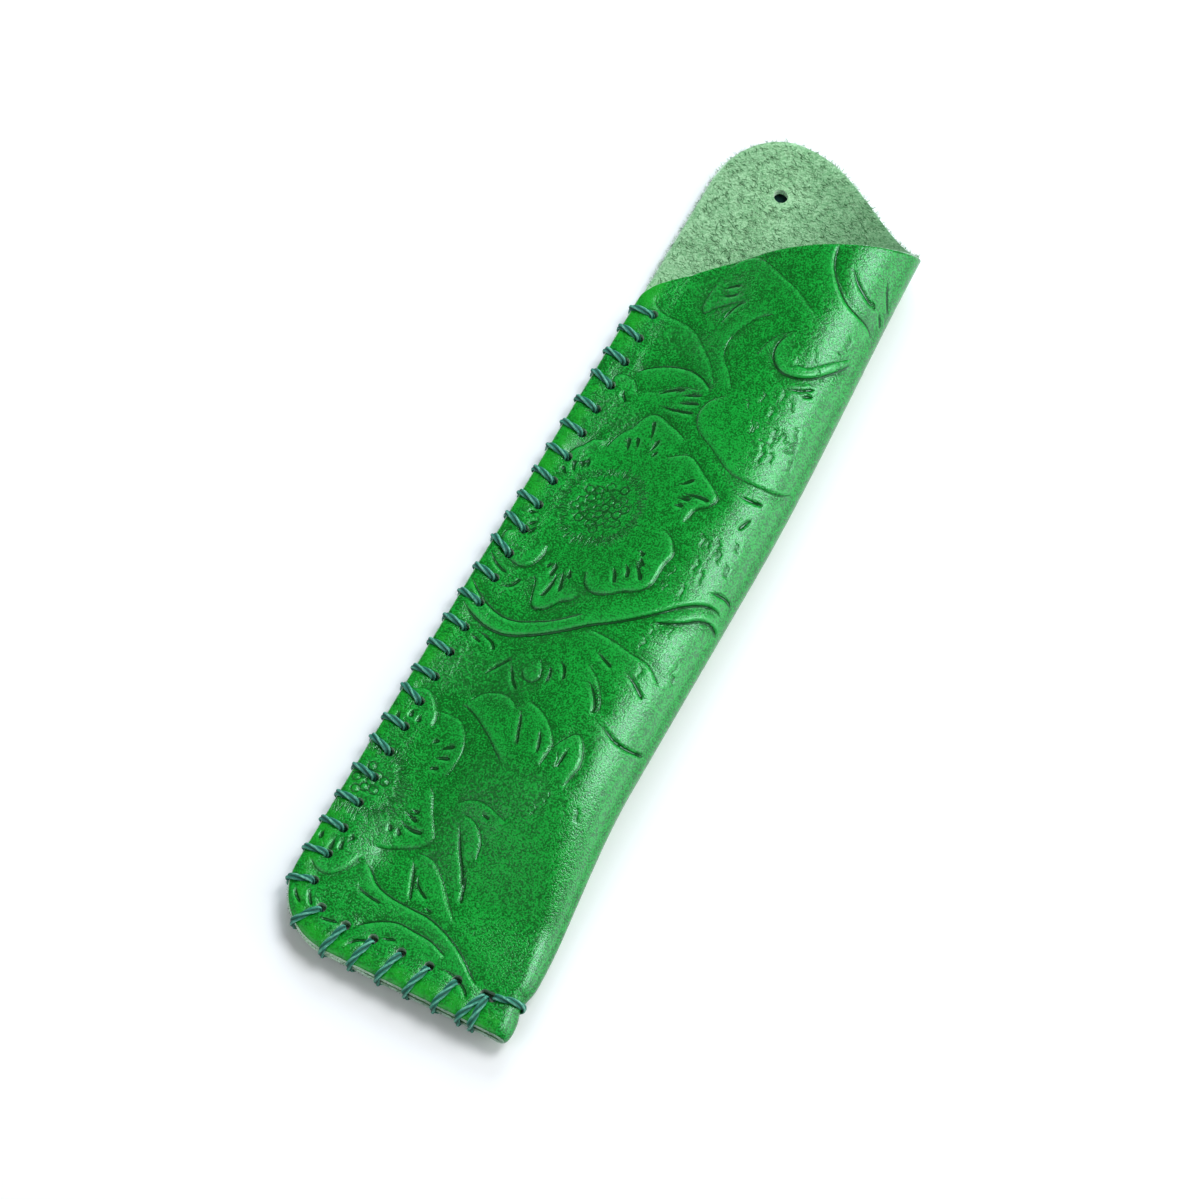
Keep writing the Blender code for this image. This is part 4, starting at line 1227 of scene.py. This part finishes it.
def grain_finish():
    """Dyed, waxed grain leather, with painted shade and painted highlights in its colour."""
    finish = Finish("tooled leather grain", IOR=1.45, Specular_IOR_Level=0.95,
                    Specular_Tint=WAX_TINT)
    place = finish.place()
    cloud = finish.noise(place, 45.0, 3.0)
    pebbles = finish.noise(place, 3000.0, 2.0, 0.55)
    creases = finish.noise(place, 700.0, 4.0, 0.65)
    stipple = finish.node("TexVoronoi", {}, {"Vector": place, "Scale": 1500.0})
    raised = finish.painted("raised") * (1 / EDGE_SWELL)
    ground = finish.painted("matted")
    side = finish.painted("line_side")
    sharp = finish.painted("line_sharp")
    beside = 1 - finish.step(finish.painted("line_near"), 0.42 * MM, 0.62 * MM)
    reach = abs(side) - sharp * (0.20 * MM)
    core = (1 - finish.step(reach, -0.08 * MM, 0.14 * MM)) * beside * sharp.clamped()
    # painted highlight: a pale line along the raised side of each bevelled edge
    rim = (1 - finish.step(abs(side - 0.60 * MM), 0.12 * MM, 0.50 * MM)) * sharp
    grit = pebbles * 6.4 + creases * 2.2 + cloud * 0.8 - 4.2
    sunk = finish.painted("sunk") * (1 / EDGE_DEPTH)
    # darker where the relief is sunk, partly compressed dye-filled leather and partly painted
    # shade; the matted ground is darker, most of all in its pits, as painted shade
    tone = grit + raised * 0.2 + rim * 0.25 - sunk * 0.6 - ground * (0.75 - stipple) * 0.9
    colour = finish.mix(tone.clamped(), DEEP_GREEN, LEAF_GREEN)
    speck = finish.step(pebbles * 0.7 + creases * 0.3, 0.58, 0.74)
    # paler specks of grain, paler swells (partly wear, partly painted highlight) and the painted
    # highlight along the edges
    colour = finish.mix(speck * 0.22 + raised * 0.2 + rim * 0.22, colour, WORN_AND_HIGHLIGHT_GREEN)
    strip = finish.painted("seam") * finish.step(cloud + creases * 0.6, 0.66, 0.92)
    colour = finish.mix(strip * 0.7, colour, SEAM_GREEN)
    # the thin core of each line is darkened: partly dye settled in the cut, partly painted shade
    colour = finish.mix(core * 1.4, colour, CUT_GREEN)
    finish.feed("Base Color", colour)
    finish.feed("Roughness", pebbles * 0.24 + creases * 0.08 + ground * 0.12 + 0.06)
    height = (pebbles * (0.078 * MM) + creases * (0.060 * MM)
              + ground * stipple * (0.11 * MM) - core * (0.145 * MM))
    finish.bump(height)
    return finish.material


# %% Flesh side and cut edge
SAGE = shade(90, 148, 98)
SAGE_DARK = shade(40, 92, 48)
SAGE_PALE = shade(154, 201, 155)
EDGE_PALE = shade(206, 236, 216)
EDGE_DARK = shade(84, 136, 108)
FIBRE_TURN = math.radians(-17)  # the flesh fibres lie nearly across the case


def flesh_finish(name, base, dark, pale, nap):
    """Suede: long slantwise fibres over cloudy patches, with painted shade towards the roll."""
    finish = Finish(name, Roughness=0.92, IOR=1.35, Sheen_Weight=0.25, Sheen_Roughness=0.6)
    place = finish.place()
    fibres = finish.noise(place, 1900.0, 3.0, 0.6, (2.2, 0.8, 1.0), FIBRE_TURN)
    strands = finish.noise(place, 1700.0, 3.0, 0.65, (1.8, 0.7, 1.0), FIBRE_TURN + 0.9)
    grain = finish.noise(place, 3200.0, 2.0, 0.6)
    cloud = finish.noise(place, 160.0, 3.0, 0.6)
    across = finish.node("SeparateXYZ", {}, {"Vector": place}, "X")
    # painted shade: the surface darkens towards +x, where the roll rises beside the tongue
    painted_shade = finish.step(across, -11 * MM, 10 * MM)
    flecks = finish.step(fibres + cloud * 0.25 + painted_shade * 0.05, 0.75, 0.86)
    tone = grain * 2.6 + strands * 1.7 + cloud * 0.9 - 2.1 - painted_shade * 0.2
    colour = finish.mix(tone.clamped(), base, pale)
    colour = finish.mix(flecks * 0.62 + painted_shade * 0.52, colour, dark)
    finish.feed("Base Color", colour)
    finish.bump((strands * 0.5 + grain * 0.4 - flecks * 0.5) * nap)
    return finish.material


print("leather finishes ready")

# %% The dressed hide
SHARP_ANGLE = math.radians(50)  # faces that meet more sharply than this keep their edge


def meshed(name, points, faces, painted):
    """A mesh, with values painted on its points."""
    mesh = bpy.data.meshes.new(name)
    mesh.from_pydata(points, [], faces)
    for key, values in painted.items():
        kind, field = ("FLOAT", "value") if values.ndim < 2 else ("FLOAT_VECTOR", "vector")
        mesh.attributes.new(key, kind, "POINT").data.foreach_set(field, values.ravel())
    print(name, "has", len(points), "points and", len(faces), "faces")
    return mesh


def face_outwards(mesh):
    """Point every face of a closed mesh outwards."""
    builder = bmesh.new()
    builder.from_mesh(mesh)
    bmesh.ops.recalc_face_normals(builder, faces=builder.faces[:])
    print(mesh.name, "has", sum(not edge.is_manifold for edge in builder.edges), "open edges")
    builder.to_mesh(mesh)
    builder.free()


def smooth(mesh):
    """Shade every face of a mesh as part of a round surface."""
    mesh.polygons.foreach_set("use_smooth", np.ones(len(mesh.polygons), bool))


def dress_hide(points, faces, kinds, painted, _):
    """The hide as one piece with its three finishes, its holes punched."""
    mesh = meshed("tooled_hide", points, faces, painted)
    face_outwards(mesh)
    mesh.polygons.foreach_set("material_index", kinds)
    mesh.materials.append(grain_finish())
    for finish in (("leather flesh side", SAGE, SAGE_DARK, SAGE_PALE, 0.05 * MM),
                   ("leather cut edge", EDGE_PALE, EDGE_DARK, SAGE_PALE, 0.2 * MM)):
        mesh.materials.append(flesh_finish(*finish))
    hide = linked("tooled_hide", mesh)
    punched(hide)
    smooth(hide.data)
    hide.data.set_sharp_from_angle(angle=SHARP_ANGLE)
    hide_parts("leather_body")
    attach(hide, BODY)
    print("hide:", sum(len(p.vertices) - 2 for p in hide.data.polygons), "triangles")


dress_hide(*hide_mesh_parts)

# %% [markdown]
# ## Loose fibres
# Suede is never cut clean. Short fibres stand out of its edges, and longer tufts lie matted on
# the tongue, some pale and some dark. A hair system would be lost in an export, so each fibre is
# a thin closed spike: a triangle at its root, a second one further on, bent aside, and a point.

# %% Loose fibres
TUFTS = 5200                    # tried on the tongue; those under the front are dropped
RIM_FIBRES = 900
FOOT_FIBRES = 420
FIBRE_SEED = 23
ASKEW = (0.31, 0.22, 0.92)      # no fibre points quite this way, so it gives each one a side


def tufts(draw):
    """Fibres that lie on the tongue's flesh side: roots, steps, thickness and tint."""
    station = draw.uniform(2.0, 2.985, TUFTS)
    y = draw.uniform(MOUTH_CORNER_Y, FOOT_Y + CASE_LENGTH, TUFTS)
    from_hole = np.hypot(flesh_section(station, y)[0] - HANG_PLACE[0], y - HANG_PLACE[1])
    seen = ((y > top_y(3 - station) - 3 * MM) & (y < top_y(station) - 0.6 * MM)
            & (from_hole > HANG_HOLE / 2 + 1.0 * MM))
    station, y = station[seen], y[seen]
    count = len(y)
    turn = FIBRE_TURN + draw.normal(0.0, 0.55, count)
    way = np.stack((np.cos(turn), np.sin(turn), draw.uniform(0.05, 0.16, count)), axis=1)
    steps = way * draw.uniform(0.5, 1.5, count)[:, None] * MM
    return (hide_points(station, y, 0.02 * MM), steps, draw.uniform(0.035, 0.075, count) * MM,
            draw.uniform(0.0, 1.0, count) ** 2 * 0.9)


def edge_fibres(draw, chosen, count, longest):
    """Fibres that stand out of the cut edge between chosen points of its line."""
    line = cut_edge["flesh"]
    gap = np.roll(line, -1, axis=0) - line
    weight = np.linalg.norm(gap, axis=1) * chosen
    at = draw.choice(len(line), count, p=weight / weight.sum())
    through = cut_edge["grain"][at] - line[at]
    out = cut_edge["out"][at]
    root = line[at] + draw.uniform(0.0, 1.0, count)[:, None] * gap[at]
    root += draw.uniform(0.02, 0.9, count)[:, None] * through + out * (0.05 * MM)
    along, up = unit_rows(gap[at]), unit_rows(through)
    way = out + along * draw.normal(0.0, 0.6, (count, 1)) - up * draw.normal(0.1, 0.4, (count, 1))
    steps = way * (0.15 + draw.uniform(0.0, 0.85, (count, 1)) ** 1.5) * longest
    return root, steps, draw.uniform(0.03, 0.07, count) * MM, draw.uniform(0.0, 1.0, count) ** 1.5


def spikes(draw, root, steps, thick, tint):
    """Closed three-sided spikes: seven points and seven faces each, and each point's tint."""
    length = np.linalg.norm(steps, axis=1)[:, None]
    side = unit_rows(np.cross(steps / length, ASKEW))
    above = np.cross(side, steps / length)
    bent = side * length * draw.normal(0.0, 0.12, length.shape)
    corners = [(side * math.cos(turn) + above * math.sin(turn)) * thick[:, None]
               for turn in (0.5, 0.5 + 2 * math.pi / 3, 0.5 + 4 * math.pi / 3)]
    rings = [root + corner for corner in corners]
    rings += [root + steps * 0.55 + bent + corner * 0.7 for corner in corners]
    all_points = np.stack(rings + [root + steps], axis=1)
    shape = ((0, 1, 2), (0, 3, 4, 1), (1, 4, 5, 2), (2, 5, 3, 0), (3, 6, 4), (4, 6, 5), (5, 6, 3))
    starts = range(0, 7 * len(root), 7)
    face_list = [[start + k for k in face] for start in starts for face in shape]
    return all_points.reshape(-1, 3), face_list, {"tint": np.repeat(tint, 7)}


def fibre_finish():
    """Matt fibre, from dark green to a pale sage."""
    finish = Finish("suede fibre", Roughness=0.95, IOR=1.35)
    finish.feed("Base Color", finish.mix(finish.painted("tint"), SAGE_DARK, SAGE_PALE))
    return finish.material


def lay_fibres():
    """Every loose fibre as one piece."""
    draw = np.random.default_rng(FIBRE_SEED)
    station, y = cut_edge["station"], cut_edge["y"]
    rim = (station > 1.45) & (y > MOUTH_CORNER_Y)
    foot = (y < CORNER_Y) & (seam_distance(flesh_section(station, y)[0], y) < 0.1 * MM)
    jobs = (tufts(draw), edge_fibres(draw, rim, RIM_FIBRES, 1.1 * MM),
            edge_fibres(draw, foot, FOOT_FIBRES, 0.5 * MM))
    parts = [np.concatenate(part) for part in zip(*jobs)]
    fibres = linked("suede_fibres", meshed("suede_fibres", *spikes(draw, *parts)))
    fibres.data.materials.append(fibre_finish())
    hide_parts("leather_body")
    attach(fibres, BODY)


lay_fibres()

# %% [markdown]
# ## The thread
# Waxed linen thread is three plies twisted together. A plain tube with a bump would look like
# wire, so the tube's own cross-section is three touching circles, turned a little at each step
# along the route. The thread comes up each hole against its outer wall, lies on the leather,
# drops past both cut edges and slants under the back to the next hole.

# %% The thread's route
SEATED = THREAD / 2 - 0.06 * MM     # the thread's centre above the leather it presses into
HOLE_WALL = PUNCH_RADIUS - 0.05 * MM    # the thread bends over the hole's rim here
BEND_STEPS = 5
RUN_SHARES = np.linspace(0.25, 0.95, 6)     # places along a stitch, from hole to edge
ARCH_STEPS = 24
TAIL_LENGTH = 2.0 * MM
UP = np.array((0.0, 0.0, 1.0))


def unit(vector):
    """The vector at length one."""
    return vector / np.linalg.norm(vector)


def level(direction):
    """A direction in plan as a direction in space."""
    return np.array((*direction, 0.0))


def leftward(direction):
    """The level direction square to a direction in plan."""
    return np.array((-direction[1], direction[0], 0.0))


def bend(pivot, start, end, radius):
    """Points of a quarter turn about a pivot, from one direction to another."""
    turn = np.linspace(0.0, math.pi / 2, BEND_STEPS + 1)[:, None]
    return pivot + radius * (np.cos(turn) * start + np.sin(turn) * end)


def seam_fall(place):
    """How far the grain side rounds over at a place."""
    return rounded_over(seam_distance(*place), SEAM_REACH, SEAM_FALL)


def front_z(place):
    """The height of the grain side of the front under a stitch."""
    inner = CLEARANCE + (clear_height(place[1]) - CLEARANCE) * front_rise(*place)
    return lift(*place) + 2 * LEATHER + inner - GROOVE_DEPTH - seam_fall(place)


def back_z(place):
    """The height of the grain side of the back over a stitch."""
    return lift(*place) + GROOVE_DEPTH + seam_fall(place)


def point(place, z):
    """A point from a place in plan and a height."""
    return np.array((*place, float(z)))


def stitch(hole, crossing, following):
    """One turn of the whip stitch: points, and the direction across the thread at each."""
    out = unit(crossing - hole)
    start = hole + HOLE_WALL * out
    rise = bend(point(start, front_z(start)), level(-out), UP, SEATED)
    spots = start + RUN_SHARES[:, None] * (crossing - start)
    run = np.array([point(spot, front_z(spot) + SEATED) for spot in spots])
    fall = bend(point(crossing, front_z(crossing)), UP, level(out), SEATED)
    turn_in = bend(point(crossing, back_z(crossing)), level(out), -UP, SEATED)
    parts = [rise, run, fall[1:], turn_in]
    sides = [leftward(out)] * (sum(len(part) for part in parts))
    if following is not None:
        way = unit(following - crossing)
        entry = point(following - HOLE_WALL * way, back_z(following))
        parts.append(bend(entry, -UP, level(way), SEATED))
        sides += [-leftward(way)] * (BEND_STEPS + 1)
    return np.vstack(parts), np.array(sides)


def whip_route():
    """All the stitches as one line, from inside the first hole to a tucked tail."""
    parts = [point(HOLES[0], lift(*HOLES[0]) + LEATHER)[None]]
    sides = [np.array((0.0, -1.0, 0.0))[None]]
    for hole, crossing, following in zip(STARTS, ENDS, [*STARTS[1:], None]):
        route, across = stitch(hole, crossing, following)
        parts.append(route)
        sides.append(across)
    out = unit(ENDS[-1] - STARTS[-1])
    parts.append((parts[-1][-1] - TAIL_LENGTH * level(out))[None])
    sides.append(sides[-1][-1:])
    return np.vstack(parts), np.vstack(sides)


def loop_route():
    """The closed loop through the last hole and round the foot of the roll."""
    hole = np.array((LOOP_HOLE_X, BOTTOM_ROW_Y))
    start = roll_start_x(LOOP_Y)
    reach = fold_x(LOOP_Y) + SEATED - start
    slope = LOOP_RISE / (start + reach - LOOP_HOLE_X)
    out = unit(np.array((1.0, slope)))
    low = float(lift(*hole))
    centre_z = low + LEATHER + clear_height(LOOP_Y) / 2
    half_height = clear_height(LOOP_Y) / 2 + LEATHER + SEATED
    turn = np.linspace(0.0, math.pi, ARCH_STEPS + 1)
    x = start + reach * np.sin(turn)
    y = BOTTOM_ROW_Y + slope * (x - LOOP_HOLE_X)
    arch = np.stack((x, y, centre_z + half_height * np.cos(turn)), axis=1)
    top = point(hole + HOLE_WALL * out, centre_z + half_height - SEATED)
    base = point(hole + HOLE_WALL * out, low)
    rise = bend(top, level(-out), UP, SEATED)
    back_in = bend(base, -UP, level(-out), SEATED)
    route = np.vstack((rise, arch, back_in))
    return route, np.tile(leftward(out), (len(route), 1))


# %% [markdown]
# A route is first rounded: it is filled with close, even points and then blurred along its
# length, so that bends and straight runs flow into each other. The tube is then one grid, with
# the length along the thread as one parameter and the angle round it as the other.

# %% The twisted tube
THREAD_STEP = 0.16 * MM
THREAD_SIDES = 18
PLY_COUNT = 3
PLY_TURN = 10.0 * MM            # one full twist of the plies
THREAD_WIDE = 1.38              # pressed flat: wider and lower than round
THREAD_LOW = 0.94
ROUNDING = 0.22 * MM


def even_points(line, across, closed):
    """Points at equal steps along a line, blurred along it, and the direction across there."""
    if closed:
        line, across = np.vstack((line, line[:1])), np.vstack((across, across[:1]))
    at = lengths_along(line)
    count = round(at[-1] / THREAD_STEP)
    want = np.linspace(0.0, at[-1], count + 1)
    both = np.column_stack((line, across))
    even = np.stack([np.interp(want, at, both[:, k]) for k in range(6)], axis=1)
    if closed:
        even = even[:-1]
    spread = ROUNDING / THREAD_STEP
    reach = math.ceil(3 * spread)
    weights = np.exp(-(np.arange(-reach, reach + 1) / spread) ** 2 / 2)
    weights /= weights.sum()
    wide = np.pad(even, ((reach, reach), (0, 0)), mode="wrap" if closed else "edge")
    soft = np.stack([np.convolve(wide[:, k], weights, mode="valid") for k in range(6)], axis=1)
    return soft[:, :3], soft[:, 3:], at[-1]


def ply_radius(angle):
    """The outline of three touching circles inside a circle of radius one."""
    ply = 1 / (1 + 1 / math.sin(math.pi / PLY_COUNT))
    offset = 1 - ply
    turn = (angle + math.pi / PLY_COUNT) % (2 * math.pi / PLY_COUNT) - math.pi / PLY_COUNT
    inside = np.clip(ply ** 2 - (offset * np.sin(turn)) ** 2, 0.0, None)
    return offset * np.cos(turn) + np.sqrt(inside)


def twisted_thread(line, across, closed):
    """A three-ply thread along a line, by the angle round it and the length along it.

    The result is its points, its faces and what is painted on the points.
    """
    centre, side, length = even_points(line, across, closed)
    if closed:
        along = np.roll(centre, -1, axis=0) - np.roll(centre, 1, axis=0)
    else:
        along = np.gradient(centre, axis=0)
    along = unit_rows(along)
    side = unit_rows(side - (side * along).sum(axis=1)[:, None] * along)
    above = np.cross(along, side)
    at = np.linspace(0.0, length, len(centre), endpoint=not closed)
    twist = 2 * np.pi * round(length / PLY_TURN) * at / length
    angle = 2 * np.pi * np.arange(THREAD_SIDES)[None, :] / THREAD_SIDES
    ply_angle = angle - twist[:, None]
    radius = THREAD / 2 * ply_radius(ply_angle)
    if not closed:
        taper = np.minimum(at, length - at) / (THREAD / 2)
        radius *= np.sqrt(np.clip(taper, 0.05, 1.0))[:, None]
    tube = (centre[:, None, :]
            + (radius * np.cos(angle) * THREAD_WIDE)[:, :, None] * side[:, None, :]
            + (radius * np.sin(angle) * THREAD_LOW)[:, :, None] * above[:, None, :])
    rings, sides = radius.shape
    first = np.arange(rings if closed else rings - 1)[:, None] * sides
    k = np.arange(sides)[None, :]
    n = (k + 1) % sides
    ahead = (first + sides) % (rings * sides)
    tube_faces = np.stack((first + k, first + n, ahead + n, ahead + k), axis=-1).reshape(-1, 4)
    tube_faces = tube_faces.tolist()
    if not closed:
        tube_faces += [list(range(sides))[::-1], list(range((rings - 1) * sides, rings * sides))]
    strand = np.stack((np.cos(ply_angle), np.sin(ply_angle),
                       np.broadcast_to(at[:, None] / THREAD, radius.shape)), axis=-1)
    groove = np.clip((THREAD / 2 - radius) / (THREAD / 4), 0.0, 1.0)
    print("a thread of", round(length / MM), "mm")
    return tube.reshape(-1, 3), tube_faces, {"strand": strand.reshape(-1, 3),
                                             "groove": groove.ravel()}


# %% [markdown]
# ## Thread finish
# The thread is dark teal. It is duller in the grooves between the plies, with painted shade there,
# and glossier on their crowns, which carry a painted highlight; fine fibres run along each ply.

# %% Waxed thread
TEAL = shade(46, 148, 122)
TEAL_DARK = shade(8, 76, 62)
# painted highlight colour of the ply crowns
TEAL_HIGHLIGHT = shade(128, 206, 180)


def thread_finish():
    """Dark teal fibres, painted shade in the grooves and a painted highlight on the crowns."""
    finish = Finish("waxed thread", IOR=1.46, Roughness=0.42)
    strand = finish.painted("strand", "Vector")
    groove = finish.painted("groove")
    fibres = finish.noise(strand, 3.2, 4.0, 0.7, stretch=(0.33, 0.33, 2.0))
    wax = finish.noise(strand, 1.4, 3.0, 0.6)
    # painted shade: darker in the grooves between the plies
    colour = finish.mix((fibres * 1.8 - groove * 0.9 - 0.1).clamped(), TEAL_DARK, TEAL)
    # painted highlight: the waxed crowns of the plies are paler, and glossier
    shine = finish.step(fibres * 0.7 + wax * 0.4 - groove * 0.45, 0.46, 0.62)
    colour = finish.mix(shine * 0.75, colour, TEAL_HIGHLIGHT)
    finish.feed("Base Color", colour)
    finish.feed("Roughness", 0.62 - shine * 0.25)
    finish.bump(fibres * (0.10 * MM))
    return finish.material


waxed = thread_finish()
for node_name, piece_name, route, closed in (
        ("whip_stitch_thread", "whip_stitch", whip_route(), False),
        ("fold_loop_thread", "fold_loop", loop_route(), True)):
    thread = linked(piece_name, meshed(piece_name, *twisted_thread(*route, closed)))
    face_outwards(thread.data)
    smooth(thread.data)
    thread.data.materials.append(waxed)
    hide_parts(node_name)
    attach(thread, BODY)
